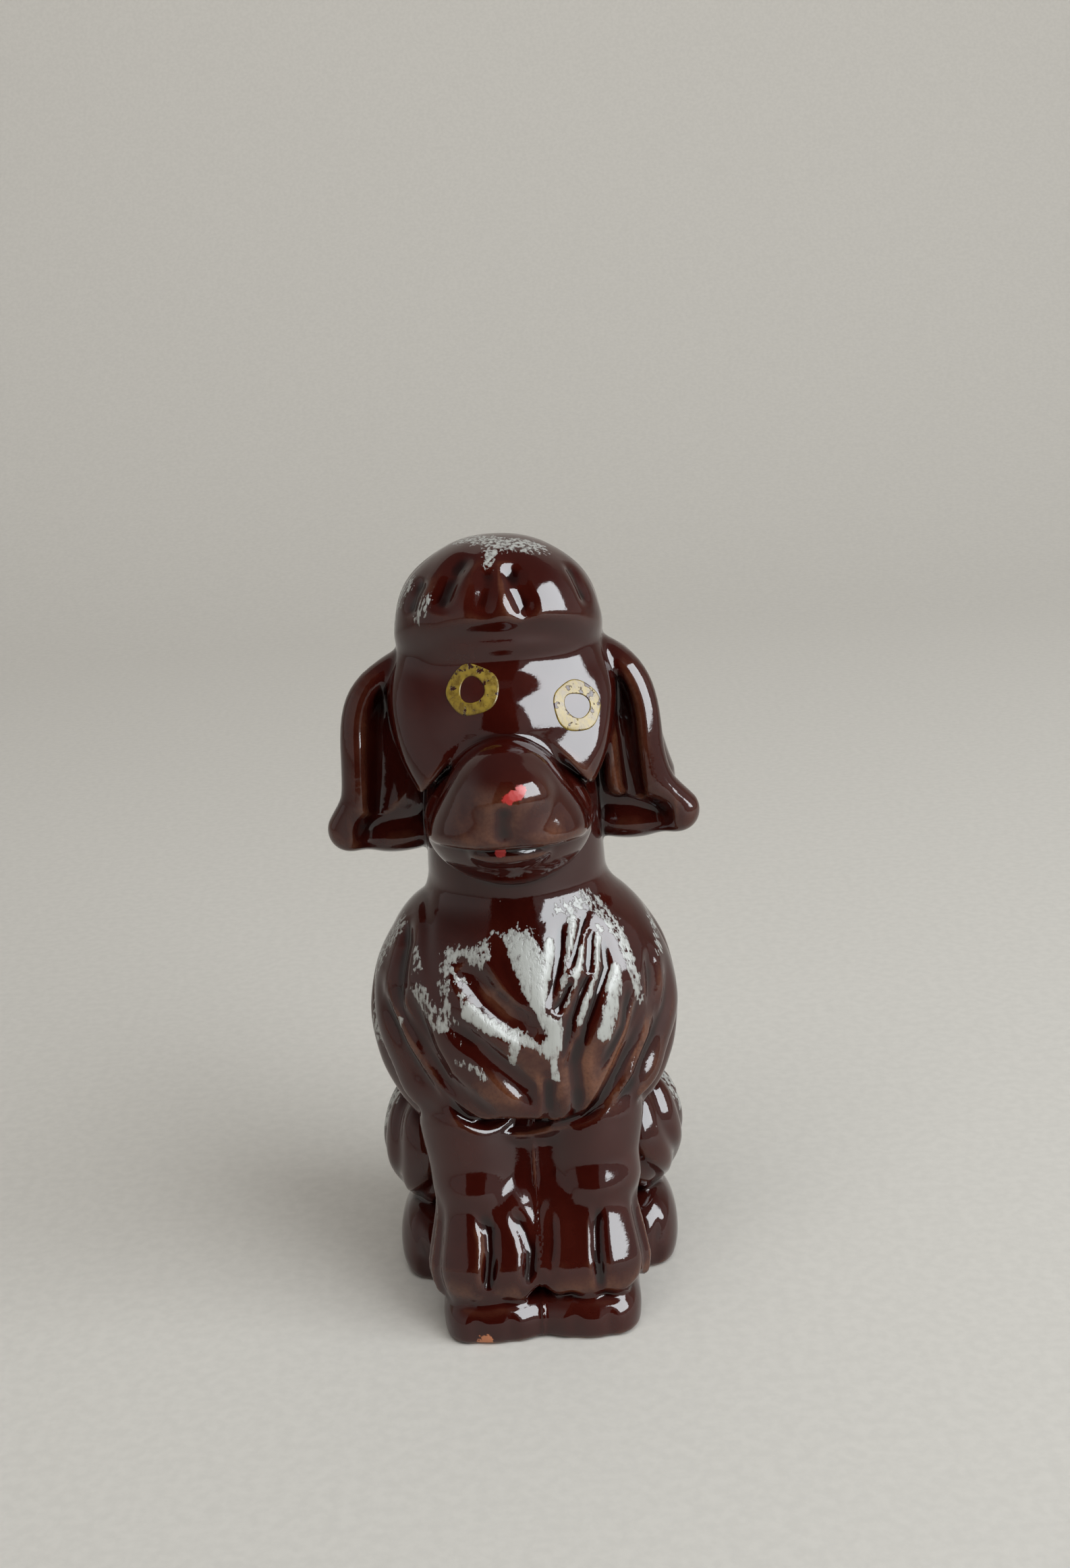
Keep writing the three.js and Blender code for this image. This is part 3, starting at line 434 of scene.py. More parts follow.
def ruff_form():
    plain = ruff_plain()
    cut = press_on_front(plain, plain, CHEST_LOCKS)
    hollow = ball((-1.8, -15.8, 27), (9, 5.6, 3.2))
    front = trim(0.7, cut, lambda p: -hollow(p))
    side_locks = []
    for i in range(-8, 9):
        side_locks.append((11.5 * i + 4 * math.sin(2.3 * i), 0.65 + 0.25 * math.sin(1.7 * i + 1)))
    back_locks = ring_of_grooves(17, 1.3)

    def form(p):
        angle, out, up = about(GATHER, NAPE, p)
        gathered = ramp(out, 2, 7)
        sway = angle + 3.5 * np.sin(0.21 * p[2] + 0.03 * angle)
        behind = ramp(np.abs(angle), 92, 104)
        beside = ramp(np.abs(angle), 62, 84) - behind
        on_back = (1 - ramp(up, 19, 27)) * comb(sway, out, back_locks, 1.35)
        on_side = (1 - ramp(up, 12, 21)) * comb(sway, out, side_locks, 1.2)
        return front(p) + gathered * (behind * on_back + beside * on_side)

    return form


print("front of the ruff:", front_of(ruff_form(), 0, RUFF_MIDDLE), "grooves on it:", len(CHEST_LOCKS))

# %% [markdown]
# Below the ruff the coat is shaved: a plain trunk on a flat seat, two smooth forelegs, and a tail that
# was cast close to the back. A mould can't leave a slot behind the forelegs, so clay fills it. Tufts are
# left on the thighs, at the ankles as cuffs, and on the tail.

# %% Trunk, tail and pompon
TRUNK_BACK = 8.0
SEAT = (0, TRUNK_BACK, 10.0)
SEAT_WIDTH = 28
LOIN = (0, 3, 32)
LOIN_WIDTH = 25
VENT_WIDTH = 5.0
VENT_DEPTH = 12.0
POMPON_MIDDLE = (0, 19.5, 29.36)
POMPON_SIZE = (13, 13, 13.4)


def trunk_form():
    body = limb(SEAT, LOIN, SEAT_WIDTH, LOIN_WIDTH)
    behind_legs = limb((0, -5, 21), (0, -6, 8), 9, 8.4)
    return blend(2, body, behind_legs)


def tail_form():
    return limb((0, 18, 12), (0, 19.5, 24), 6.4, 5.8)


def pompon_form():
    plain = ball(POMPON_MIDDLE, POMPON_SIZE)
    above = (POMPON_MIDDLE[0], POMPON_MIDDLE[1], POMPON_MIDDLE[2] + 1)

    def form(p):
        angle, out, _ = about(POMPON_MIDDLE, above, p)
        sway = angle + 4 * np.sin(0.6 * p[2])
        return plain(p) + ramp(out, 1, 5) * comb(sway, out, ring_of_grooves(10, 0.8), 0.9)

    return form


print("front of the trunk:", front_of(trunk_form(), 0, LOIN[2]))

# %% Forelegs and front paws
SHOULDER = (7.4, -9.1, 25.6)
WRIST = (6.8, -11.8, 15)
SHOULDER_WIDTH = 14
WRIST_WIDTH = 11.6
LEDGE_MIDDLE = (7.7, -11.2, 18)
LEDGE_WIDTH = {LEFT: 11, RIGHT: 9}
PAW_WIDTH = 13.0
PAW_HEIGHT = 10.2
BETWEEN_PAWS_HEIGHT = 9.2
PAW_MIDDLE = 1.6
PAW_SPACING = 12.4
TOE_SPACING = 4.4


def foreleg_form(side):
    bone = limb(mirrored(side, SHOULDER), mirrored(side, WRIST), SHOULDER_WIDTH, WRIST_WIDTH)

    def top(p):
        outward = np.maximum(np.abs(p[0]) - 3, 0)
        return (p[2] - 26 - 0.045 * outward ** 2 - 0.6 * (p[1] + 16)) / 1.17

    whole = limb((0, 1, 26.5), (0, -1.9, WRIST[2]), 29, 29)
    between = trim(1, whole, lambda p: np.maximum(np.abs(p[0]) - 4, p[1] + 9))
    ledge = ball(mirrored(side, LEDGE_MIDDLE), (LEDGE_WIDTH[side], 12.3, 7))
    leg = blend(1.8, blend(0.8, trim(0.4, bone, top), trim(0.4, between, top)), ledge)
    return one_side(leg, side)


def paw_form(side):
    across = side * PAW_SPACING / 2
    body = loaf((across, -PAW_FORWARD, PAW_MIDDLE), (PAW_WIDTH, PAW_LENGTH, PAW_HEIGHT), 3.6, 2.5)
    front = -PAW_FORWARD - PAW_LENGTH / 2
    toes = []
    for step in (-0.5, 0.5):
        toe = across + TOE_SPACING * step
        toes.append(([(toe, front, -4), (toe, front + 0.1, 1), (toe, front + 0.6, 4.2)], 0.9, 0.2))
    between_size = (9, PAW_LENGTH - 1.4, BETWEEN_PAWS_HEIGHT)
    between = loaf((0, -PAW_FORWARD + 0.7, PAW_MIDDLE), between_size, 3, 2.5)
    return one_side(blend(0.8, press(body, *toes), between), side)


print("front of the left foreleg:", front_of(foreleg_form(LEFT), *SHOULDER[::2]))
print("front of the left paw:", front_of(paw_form(LEFT), PAW_SPACING / 2, PAW_MIDDLE))

# %% Cuffs
CUFF_TOP = (7.2, -11.6, 15.4)
CUFF_FOOT = (7.4, -14, 7.8)
CUFF_INNER_TOP = (3.4, -11.8, 14.6)
CUFF_INNER_FOOT = (3.4, -14, 7.8)
CUFF_TOP_WIDTH = 11.8
CUFF_FOOT_WIDTH = 14.2
CUFF_BOTTOM = 4.4
CUFF_GROOVES = {
    LEFT: [(-150, 1), (-110, 0.9), (62, 0.6), (90, 0.9), (120, 1), (160, 1)],
    RIGHT: [(-160, 1), (-120, 1), (-84, 0.8), (-56, 0.5), (100, 0.8), (150, 1)],
}
CUFF_FRONT = {
    LEFT: [
        ([(1.8, 16.4), (1.7, 12.1), (1.3, 7)], 0.9, 0.3),
        ([(7.8, 17), (7.4, 13.9), (7.3, 11.2), (7.5, 6)], 0.7, 0.8),
    ],
    RIGHT: [
        ([(-7.2, 16.6), (-6.1, 13.8), (-6.1, 11.7), (-6.8, 7)], 0.75, 1.8),
        ([(-3.2, 16.4), (-1.6, 13.7), (-1, 11.4), (-1.8, 7)], 0.9, 1.0),
    ],
}


def cuff_form(side):
    top = mirrored(side, CUFF_TOP)
    foot = mirrored(side, CUFF_FOOT)
    inner_top = mirrored(side, CUFF_INNER_TOP)
    inner_foot = mirrored(side, CUFF_INNER_FOOT)
    outer = limb(top, foot, CUFF_TOP_WIDTH, CUFF_FOOT_WIDTH)
    bell = blend(1, outer, limb(inner_top, inner_foot, CUFF_TOP_WIDTH, CUFF_FOOT_WIDTH))

    def hem(p):
        notch = 1.5 * np.exp(-((p[0] - 0.4) / 3) ** 2)
        return CUFF_BOTTOM + 0.05 * p[0] + notch + 0.45 * np.cos(1.5 * p[0] + 0.6) - p[2]

    plain = trim(1.6, bell, hem)
    front = press_on_front(plain, bell, CUFF_FRONT[side])

    def form(p):
        angle, out, _ = about(foot, top, p)
        return front(p) + ramp(out, 2, 6) * comb(angle, out, CUFF_GROOVES[side], 1.15)

    return one_side(form, side)


print("front of the left cuff:", front_of(cuff_form(LEFT), *CUFF_FOOT[::2]))

# %% Thighs and hind feet
THIGH_MIDDLE = (13.6, 4.5, 17.5)
THIGH_SIZE = (13.6, 20, 18)
HIND_FOOT_MIDDLE = (14, 3.2, 3.6)
HIND_FOOT_SIZE = (9.8, 17.2, 12.8)
HIND_TOE_SPACING = 3.2


def thigh_form(side):
    middle = mirrored(side, THIGH_MIDDLE)
    plain = ball(middle, THIGH_SIZE)
    above = (middle[0] - side * 0.3, middle[1], middle[2] + 1)

    def form(p):
        angle, out, _ = about(middle, above, p)
        sway = angle + 9 * np.sin(0.35 * p[2] + side)
        return plain(p) + ramp(out, 1, 6) * comb(sway, out, ring_of_grooves(9, 0.6), 1.3)

    return form


def hind_foot_form(side):
    middle = mirrored(side, HIND_FOOT_MIDDLE)
    body = loaf(middle, HIND_FOOT_SIZE, 2.4, 2.4)
    toes = []
    for step in (-0.5, 0.5):
        toe = middle[0] + HIND_TOE_SPACING * step
        toes.append(([(toe, -5.4, -1), (toe, -5, 4), (toe, -1.5, 8.5)], 0.9, 0.3))
    return press(body, *toes)


print("front of the left thigh:", front_of(thigh_form(LEFT), *THIGH_MIDDLE[::2]))
print("front of the left hind foot:", front_of(hind_foot_form(LEFT), *HIND_FOOT_MIDDLE[::2]))

# %% [markdown]
# All members join into one clay body with a small fillet at each join, as slip fills a seam. The seat is
# cut flat, and the vent of the casting goes up into it. A slow waviness of less than a tenth of a
# millimetre is what a dipped glaze leaves, and it makes reflections wander.

# %% Join the members
MEMBERS = {
    "head": (head_form(), 1.0),
    "ruff": (ruff_form(), 0.9),
    "trunk": (trunk_form(), 2.0),
    "topknot": (topknot_form(), 1.6),
    "left_ear": (ear_form(LEFT, -0.9, True), 0.9),
    "right_ear": (ear_form(RIGHT, 0.9, False), 0.9),
}
PAIRS = [
    ("foreleg", foreleg_form, 0.9),
    ("cuff", cuff_form, 0.8),
    ("front_paw", paw_form, 0.7),
    ("thigh", thigh_form, 1.2),
    ("hind_foot", hind_foot_form, 1.0),
]
for part, make_form, fillet in PAIRS:
    MEMBERS["left_" + part] = (make_form(LEFT), fillet)
    MEMBERS["right_" + part] = (make_form(RIGHT), fillet)
MEMBERS["tail"] = (tail_form(), 1.0)
MEMBERS["tail_pompon"] = (pompon_form(), 0.9)
FOOT_ROUND = 0.7
VENT_ROUND = 0.3
WAVE = 0.03


def waviness(p):
    across = np.sin(0.7 * p[0] + 0.4 * p[2])
    along = np.sin(0.8 * p[1] - 0.5 * p[2] + 1)
    up = np.sin(0.9 * p[2] + 2)
    return WAVE * (across + along + up)


def vent(p):
    wall = np.hypot(p[0], p[1] - TRUNK_BACK) - VENT_WIDTH / 2
    return np.maximum(wall, p[2] - VENT_DEPTH)


def clay(levels, p):
    """The joined body, from the level of each member at the points."""
    body = None
    for name, (_, fillet) in MEMBERS.items():
        level = levels.get(name)
        if level is None:
            continue
        body = level if body is None else soft_min(body, level, fillet)
    body = body + waviness(p)
    body = -soft_min(-body, p[2], FOOT_ROUND)
    return -soft_min(-body, vent(p), VENT_ROUND)


print("members with their fillets:", {name: fillet for name, (_, fillet) in MEMBERS.items()})

# %% [markdown]
# Each member is still a piece of its own. A piece owns the skin where its own form is the deepest, and
# where a neighbour takes over it dips under the neighbour's skin and closes there. So no gap shows, and
# every piece is a closed body. The skin is found on a lattice: each cell that the surface crosses gets
# one point, four neighbours make a face, and the points then settle onto the exact surface.

# %% Levels near a piece
def node_boxes():
    boxes = {}
    for name in MEMBERS:
        low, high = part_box(name)
        boxes[name] = ((np.array(low) - AXIS) / MM, (np.array(high) - AXIS) / MM)
    return boxes


BOXES = node_boxes()
REACH = 6.0
OVERLAP = 0.1
DIP = 2


def members_near(name):
    low, high = BOXES[name]
    near = []
    for other, (other_low, other_high) in BOXES.items():
        if np.all(other_low - REACH < high) and np.all(other_high + REACH > low):
            near.append(other)
    return near


def level_of(name, p):
    """A member's level at the points, worked out only where the member is near."""
    low, high = BOXES[name]
    near = np.all((p > low[:, None] - REACH) & (p < high[:, None] + REACH), 0)
    level = np.full(p.shape[1], REACH)
    level[near] = MEMBERS[name][0](p[:, near])
    return level


def piece_field(name):
    """The field of a piece, which dips under its neighbours, and the field of the joined skin near it."""
    near = members_near(name)

    def field(p):
        levels = {other: level_of(other, p) for other in near}
        rivals = [levels[other] for other in near if other != name]
        past = levels[name] - np.minimum.reduce(rivals)
        return clay(levels, p) + DIP * np.maximum(past - OVERLAP, 0) ** 2

    def skin_field(p):
        return clay({other: level_of(other, p) for other in near}, p)

    return field, skin_field


print("members near the tail:", members_near("tail"))

# %% Find the lattice values
BLOCK = 4
NEAR_SURFACE = 1.8


def lattice(field, low, high, pitch):
    """Values of a field on a lattice, worked out only in the blocks near its surface."""
    blocks = np.ceil((high - low) / (BLOCK * pitch)).astype(int)
    starts = np.stack(np.meshgrid(*[np.arange(n) for n in blocks], indexing="ij"), -1).reshape(-1, 3)
    middles = low + (starts + 0.5) * BLOCK * pitch
    rough = field(middles.T)
    values = np.repeat(np.repeat(np.repeat(rough.reshape(blocks), BLOCK, 0), BLOCK, 1), BLOCK, 2)
    values = np.pad(values, ((0, 1), (0, 1), (0, 1)), mode="edge")
    close = starts[np.abs(rough) < NEAR_SURFACE * BLOCK * pitch]
    step = np.stack(np.meshgrid(*[np.arange(BLOCK + 1)] * 3, indexing="ij"), -1).reshape(-1, 3)
    needed = np.zeros(values.shape, bool)
    spots = (close[:, None, :] * BLOCK + step[None]).reshape(-1, 3)
    needed[spots[:, 0], spots[:, 1], spots[:, 2]] = True
    spots = np.argwhere(needed)
    values[needed] = field((low + spots * pitch).T)
    return values


TRIAL_PITCH = 0.25
trial_low = np.full(3, -3.0)
trial_values = lattice(trial_ball, trial_low, -trial_low, TRIAL_PITCH)
print("lattice round the trial ball:", trial_values.shape)

# %% Draw the skin
CORNERS = np.array([(i, j, k) for i in (0, 1) for j in (0, 1) for k in (0, 1)])
EDGES = [(a, b) for a in range(8) for b in range(a + 1, 8) if np.abs(CORNERS[a] - CORNERS[b]).sum() == 1]


def crossings(values, cells):
    """Mean crossing point of each cell's edges, in cells."""
    total = np.zeros((len(cells), 3))
    count = np.zeros(len(cells))
    at_corner = [values[tuple((cells + corner).T)] for corner in CORNERS]
    for a, b in EDGES:
        crossed = (at_corner[a] < 0) != (at_corner[b] < 0)
        gap = np.where(crossed, at_corner[a] - at_corner[b], 1)
        share = np.where(crossed, at_corner[a] / gap, 0)
        total += crossed[:, None] * (CORNERS[a] + share[:, None] * (CORNERS[b] - CORNERS[a]))
        count += crossed
    return cells + total / count[:, None]


def faces_across(values, number, axis):
    """Faces around the lattice edges along one axis that cross the surface."""
    u, v = (axis + 1) % 3, (axis + 2) % 3
    inside = values < 0
    ahead = np.roll(inside, -1, axis)
    crossed = inside != ahead
    edge = np.argwhere(crossed)
    limit = np.array(number.shape)
    fits = (edge[:, axis] < limit[axis]) & (edge[:, u] > 0) & (edge[:, v] > 0)
    fits &= (edge[:, u] < limit[u]) & (edge[:, v] < limit[v])
    edge = edge[fits]
    quad = []
    for du, dv in ((1, 1), (0, 1), (0, 0), (1, 0)):
        cell = edge.copy()
        cell[:, u] -= du
        cell[:, v] -= dv
        quad.append(number[tuple(cell.T)])
    quad = np.stack(quad, 1)
    outward = inside[tuple(edge.T)]
    return np.where(outward[:, None], quad, quad[:, ::-1])


def draw_skin(values, low, pitch):
    inside = values < 0
    filled = np.zeros(np.array(values.shape) - 1, int)
    for i, j, k in CORNERS:
        filled += inside[i:inside.shape[0] - 1 + i, j:inside.shape[1] - 1 + j, k:inside.shape[2] - 1 + k]
    active = (filled > 0) & (filled < 8)
    number = np.full(active.shape, -1)
    number[active] = np.arange(active.sum())
    points = low + pitch * crossings(values, np.argwhere(active))
    faces = np.concatenate([faces_across(values, number, axis) for axis in range(3)])
    return points, faces


trial_points, trial_faces = draw_skin(trial_values, trial_low, TRIAL_PITCH)
print("skin of the trial ball:", len(trial_points), "points and", len(trial_faces), "faces")

# %% Settle the points
TETRA = np.array([(1, 1, 1), (1, -1, -1), (-1, 1, -1), (-1, -1, 1)], float)


def slope(field, points, step):
    """Level and slope of a field at points, from four readings around each."""
    readings = [field((points + step * corner).T) for corner in TETRA]
    level = sum(readings) / 4
    gradient = sum(reading[:, None] * corner for reading, corner in zip(readings, TETRA)) / (4 * step)
    return level, gradient


def straight_out(field, points, step):
    """The direction straight out of the skin at each point."""
    _, gradient = slope(field, points, step)
    return gradient / np.linalg.norm(gradient, axis=1)[:, None]


def settle(field, points, pitch, rounds):
    for _ in range(rounds):
        level, gradient = slope(field, points, 0.1 * pitch)
        move = level / np.maximum((gradient ** 2).sum(1), 0.05)
        move = np.clip(move, -0.5 * pitch, 0.5 * pitch)
        points = points - move[:, None] * gradient
    return points


def even_out(points, faces, share):
    """Moves each point part of the way to the middle of its neighbours."""
    total = np.zeros_like(points)
    count = np.zeros(len(points))
    for turn in (1, 3):
        for axis in range(3):
            total[:, axis] += np.bincount(
                faces.ravel(), points[np.roll(faces, turn, 1).ravel(), axis], len(points))
        count += np.bincount(faces.ravel(), minlength=len(points))
    return points + share * (total / count[:, None] - points)


def draw_settled(field, low, high, pitch, last_rounds):
    """A skin in a box, with its points settled, evened out and settled again."""
    points, faces = draw_skin(lattice(field, low, high, pitch), low, pitch)
    points = settle(field, points, pitch, 2)
    return settle(field, even_out(points, faces, 0.5), pitch, last_rounds), faces


trial_points, _ = draw_settled(trial_ball, trial_low, -trial_low, TRIAL_PITCH, 2)
print("furthest that a trial point lies off the ball:", np.abs(trial_ball(trial_points.T)).max())

# %% Build a piece
COMMON_PITCH = 0.4
PITCH = {"head": 0.36, "topknot": 0.36, "left_ear": 0.36, "right_ear": 0.36, "trunk": 0.55}
MARGIN = 6.0


def build_piece(name):
    field, skin_field = piece_field(name)
    low, high = BOXES[name]
    pitch = PITCH.get(name, COMMON_PITCH)
    points, faces = draw_settled(field, low - MARGIN, high + MARGIN, pitch, 2)
    return points, faces, skin_field


def put_in_scene(name, data):
    thing = bpy.data.objects.new(name, data)
    bpy.context.scene.collection.objects.link(thing)
    return thing


def mesh_object(name, points, faces, normals):
    mesh = bpy.data.meshes.new(name)
    mesh.vertices.add(len(points))
    mesh.vertices.foreach_set("co", (points * MM + AXIS).ravel())
    mesh.loops.add(faces.size)
    mesh.loops.foreach_set("vertex_index", faces.ravel())
    mesh.polygons.add(len(faces))
    mesh.polygons.foreach_set("loop_start", np.arange(0, faces.size, 4))
    mesh.update(calc_edges=True)
    mesh.validate()
    mesh.shade_smooth()
    mesh.normals_split_custom_set_from_vertices(normals)
    return put_in_scene(name, mesh)


print("finest lattice:", min(PITCH.values()), "mm, coarsest:", max(PITCH.values()), "mm")

# %% Build all the clay pieces
pieces = {}
for name in MEMBERS:
    points, faces, skin_field = build_piece(name)
    piece = mesh_object(name + "_skin", points, faces, straight_out(skin_field, points, 0.12))
    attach(piece, "root")
    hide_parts(name)
    pieces[name] = piece
    print(name, "points", len(points), "faces", len(faces))

# %% [markdown]
# The eyes are rings of yellow enamel, brushed on by hand over the glaze, so they aren't quite round and
# don't quite match. Each is a thin crowned layer that follows the head's skin, with uneven edges.

# %% Eye rings
RING_WIDTH = 6.6
PUPIL_WIDTH = 3.3
ENAMEL_RISE = 0.14
ENAMEL_ROOT = 0.35
ENAMEL_ROUND = 0.18
RING_PITCH = 0.13


def ring_field(skin_field, centre, gaze, phase):
    up = np.array([0.0, 0.0, 1.0])
    side = np.cross(up, gaze)
    side = side / np.linalg.norm(side)
    rise = np.cross(gaze, side)

    def field(p):
        skin = skin_field(p)
        q = p - centre[:, None]
        a = side @ q
        b = rise @ q
        turn = np.arctan2(b, a)
        out = np.hypot(a, b)
        outer = RING_WIDTH / 2 + 0.16 * np.sin(2 * turn + phase) + 0.08 * np.sin(5 * turn + 2 * phase)
        inner = PUPIL_WIDTH / 2 + 0.12 * np.sin(2 * turn + 1.5 + phase) + 0.07 * np.sin(3 * turn + phase)
        band = np.maximum(out - outer, inner - out)
        layer = np.maximum(skin - ENAMEL_RISE, -skin - ENAMEL_ROOT)
        return -soft_min(-band, -layer, ENAMEL_ROUND)

    return field


def build_ring(node, phase):
    low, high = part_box(node)
    seen = ((np.array(low) + np.array(high)) / 2 - AXIS) / MM
    _, skin_field = piece_field("head")
    settled = settle(skin_field, seen[None], 1.0, 12)
    centre = settled[0]
    field = ring_field(skin_field, centre, straight_out(skin_field, settled, 0.4)[0], phase)
    reach = RING_WIDTH / 2 + 1.0
    points, faces = draw_settled(field, centre - reach, centre + reach, RING_PITCH, 1)
    return mesh_object(node + "_enamel", points, faces, straight_out(field, points, 0.04)), centre


for node, phase in (("left_eye_ring", 0.6), ("right_eye_ring", 2.2)):
    ring, centre = build_ring(node, phase)
    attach(ring, "root")
    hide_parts(node)
    pieces[node] = ring
    print(node, "middle", centre.round(2), "faces", len(ring.data.polygons))

# %% [markdown]
# Three things about the clay decide how the finish lies on it. Glaze runs off ridges and pools in
# hollows, so each point keeps how the skin bends there. It was wiped thin in places. And white paint was
# brushed over the curls, then worn away. Strokes and wiped places are lines on the clay with a width.

# %% Bend, wiped places and brush strokes
WIPED = [
    ([(2, -17.5, 35), (9, -16.5, 33), (13, -13.5, 36)], 5.5, 1.0),
    ([(-5, -17.5, 32), (1, -18, 33)], 3.5, 0.8),
    ([(-11, -19, 6.2), (-7, -20.5, 6), (-2, -19.5, 6.4)], 2.4, 0.9),
    ([(3, -19.5, 6.6), (8, -20.5, 6.4), (12.5, -17.5, 7)], 2.2, 0.7),
    ([(-4.5, -23.5, 68.5), (4.5, -23.5, 68.5)], 4.5, 0.7),
]
STROKES = [
    ([(-0.2, -14.4, 50.2), (1.4, -16, 47), (2.2, -17, 44.4)], 3.0, 1.0),
    ([(2.2, -17, 44.4), (2.8, -17.6, 41.6), (3.1, -17.8, 38.1)], 2.2, 1.0),
    ([(-2.8, -13.6, 51.2), (-0.6, -14.6, 49.6)], 1.3, 0.85),
    ([(3.8, -14.2, 50), (3.4, -15.6, 47.7), (2.7, -16.8, 44.8)], 1.4, 1.0),
    ([(-6.7, -16.5, 42.7), (-4.7, -17.3, 41.2), (-1.8, -17.8, 40.1), (0.8, -17.9, 39.2)], 1.5, 1.0),
    ([(-1.4, -17.9, 38.5), (-2.5, -17.8, 33.9)], 0.9, 0.85),
    ([(3.1, -17.8, 37.8), (3.4, -17.8, 33.8)], 0.7, 0.95),
    ([(6.6, -11.6, 52.3), (6, -14.4, 48.8), (5, -16.1, 45.5)], 1.0, 0.9),
    ([(7.5, -13.7, 49), (6.5, -15.4, 46.3), (5, -16.8, 43.5)], 1.1, 0.95),
    ([(9.7, -11.2, 50.8), (9.4, -13.9, 47), (7.9, -16, 43), (6.8, -16.8, 40.6)], 0.9, 0.9),
    ([(11.4, -13.4, 45.8), (11.1, -14.7, 42.3), (9.8, -15.8, 38.6)], 1.5, 0.95),
    ([(12.5, -10.2, 49.4), (13.8, -11.8, 45), (15, -12.1, 41)], 1.2, 0.75),
    ([(5, -11, 53), (9.5, -8.6, 54), (12, -10, 50.4)], 1.9, 0.6),
    ([(-8.7, -13, 49.2), (-5.5, -14.4, 48.9), (-3.3, -13.8, 50.8)], 1.7, 0.75),
    ([(-9.3, -13.6, 47.7), (-7, -15.2, 46.5)], 1.5, 0.7),
    ([(-7.8, -15.2, 46.4), (-7.4, -16, 43.6)], 0.7, 0.75),
    ([(-13.1, -12.7, 44.3), (-11.9, -14.3, 41.9), (-10.8, -15.1, 41)], 2.0, 0.62),
    ([(-9.7, -14.3, 45.8), (-9.7, -15.4, 42.2), (-8.5, -16.3, 39.7)], 1.4, 0.62),
    ([(-8.5, -16.4, 36), (-6.4, -17.1, 35.3), (-5.4, -17.3, 34.2)], 0.9, 0.58),
    ([(-16.2, -11, 40), (-16.2, -11, 36)], 1.2, 0.65),
    ([(-13.1, -9.9, 48.9), (-13.1, -11.6, 46.7)], 1.0, 0.6),
    ([(-15, -4, 50), (-18.4, -3, 44), (-19, -4, 36)], 2.6, 0.6),
    ([(16.7, -2.6, 49.1), (17.5, -6.3, 45.7)], 1.3, 0.6),
    ([(-3.5, 0, 98.8), (0.4, -3.6, 98.4), (4.6, -2.6, 97.6)], 2.8, 0.66),
    ([(-0.6, -5, 97.6), (-1, -6.6, 96.2)], 1.2, 0.8),
    ([(-12.6, 0, 90), (-11.4, -2, 93.5)], 2.6, 0.6),
    ([(-9.6, -7, 90.5), (-9, -7, 92.5)], 1.8, 0.55),
    ([(-17.6, 3, 25.4), (-20, 5, 20.5)], 2.8, 0.7),
    ([(17.2, 3, 25.4), (20, 5, 20.5)], 2.8, 0.7),
    ([(-6, 14, 50), (-8, 16, 38)], 3.0, 0.7),
    ([(6, 14.5, 49), (9, 15, 36)], 3.0, 0.7),
    ([(-3, 9, 96.5), (4, 10, 95)], 3.2, 0.7),
    ([(-2, 25, 32), (2, 25.4, 28)], 3.0, 0.7),
]


def lines_over(lines, p):
    """How strongly a set of lines covers each point, from 0 to their own share."""
    cover = np.zeros(p.shape[1])
    for points, width, share in lines:
        cover = np.maximum(cover, share * (1 - ramp(roll(points, 0, 0)(p), 0.3 * width, 1.25 * width)))
    return cover


def bend_of(skin_field, points):
    """How the skin bends, per millimetre: above zero on ridges and below zero in hollows."""
    step = 0.6
    level, _ = slope(skin_field, points, step)
    return 2 * (level - skin_field(points.T)) / step ** 2


def keep_value(piece, name, values):
    layer = piece.data.attributes.new(name, "FLOAT", "POINT")
    layer.data.foreach_set("value", values.astype(np.float32))


plain = ruff_plain()
bare = [(drawn_on_front(plain, line), 0.9 * width, 1.0) for line, width, _ in BARE_LOCKS]
for name in MEMBERS:
    piece = pieces[name]
    spots = np.zeros(len(piece.data.vertices) * 3)
    piece.data.vertices.foreach_get("co", spots)
    spots = (spots.reshape(-1, 3) - AXIS) / MM
    _, skin_field = piece_field(name)
    keep_value(piece, "bend", bend_of(skin_field, spots))
    keep_value(piece, "wiped", lines_over(WIPED, spots.T))
    painted = lines_over(STROKES, spots.T)
    if name == "ruff":
        painted = painted * (1 - lines_over(bare, spots.T))
    keep_value(piece, "strokes", painted)
print("strokes:", len(STROKES), "wiped places:", len(WIPED))

# %% [markdown]
# The finishes share their effects, so each effect is a node group with named inputs and outputs. The
# first is orange peel, the faint dimpling of a fired glaze, which breaks up the edges of reflections.

# %% Orange peel, with the first helpers for nodes
def new_group(name, inputs, outputs):
    tree = bpy.data.node_groups.new(name, "ShaderNodeTree")
    for label, kind, value in inputs:
        socket = tree.interface.new_socket(label, in_out="INPUT", socket_type=kind)
        socket.default_value = value
    for label, kind in outputs:
        tree.interface.new_socket(label, in_out="OUTPUT", socket_type=kind)
    return tree, tree.nodes.new("NodeGroupInput"), tree.nodes.new("NodeGroupOutput")


def set_socket(tree, socket, value):
    if isinstance(value, bpy.types.NodeSocket):
        tree.links.new(value, socket)
    else:
        socket.default_value = value


def fill_inputs(tree, node, inputs):
    for label, value in inputs.items():
        set_socket(tree, node.inputs[label], value)


def add_node(tree, kind, settings, inputs):
    node = tree.nodes.new(kind)
    for label, value in settings.items():
        setattr(node, label, value)
    fill_inputs(tree, node, inputs)
    return node


def math_node(tree, operation, a, b):
    return add_node(tree, "ShaderNodeMath", {"operation": operation}, {0: a, 1: b}).outputs[0]


def times(tree, a, b):
    return math_node(tree, "MULTIPLY", a, b)


def plus(tree, a, b):
    return math_node(tree, "ADD", a, b)


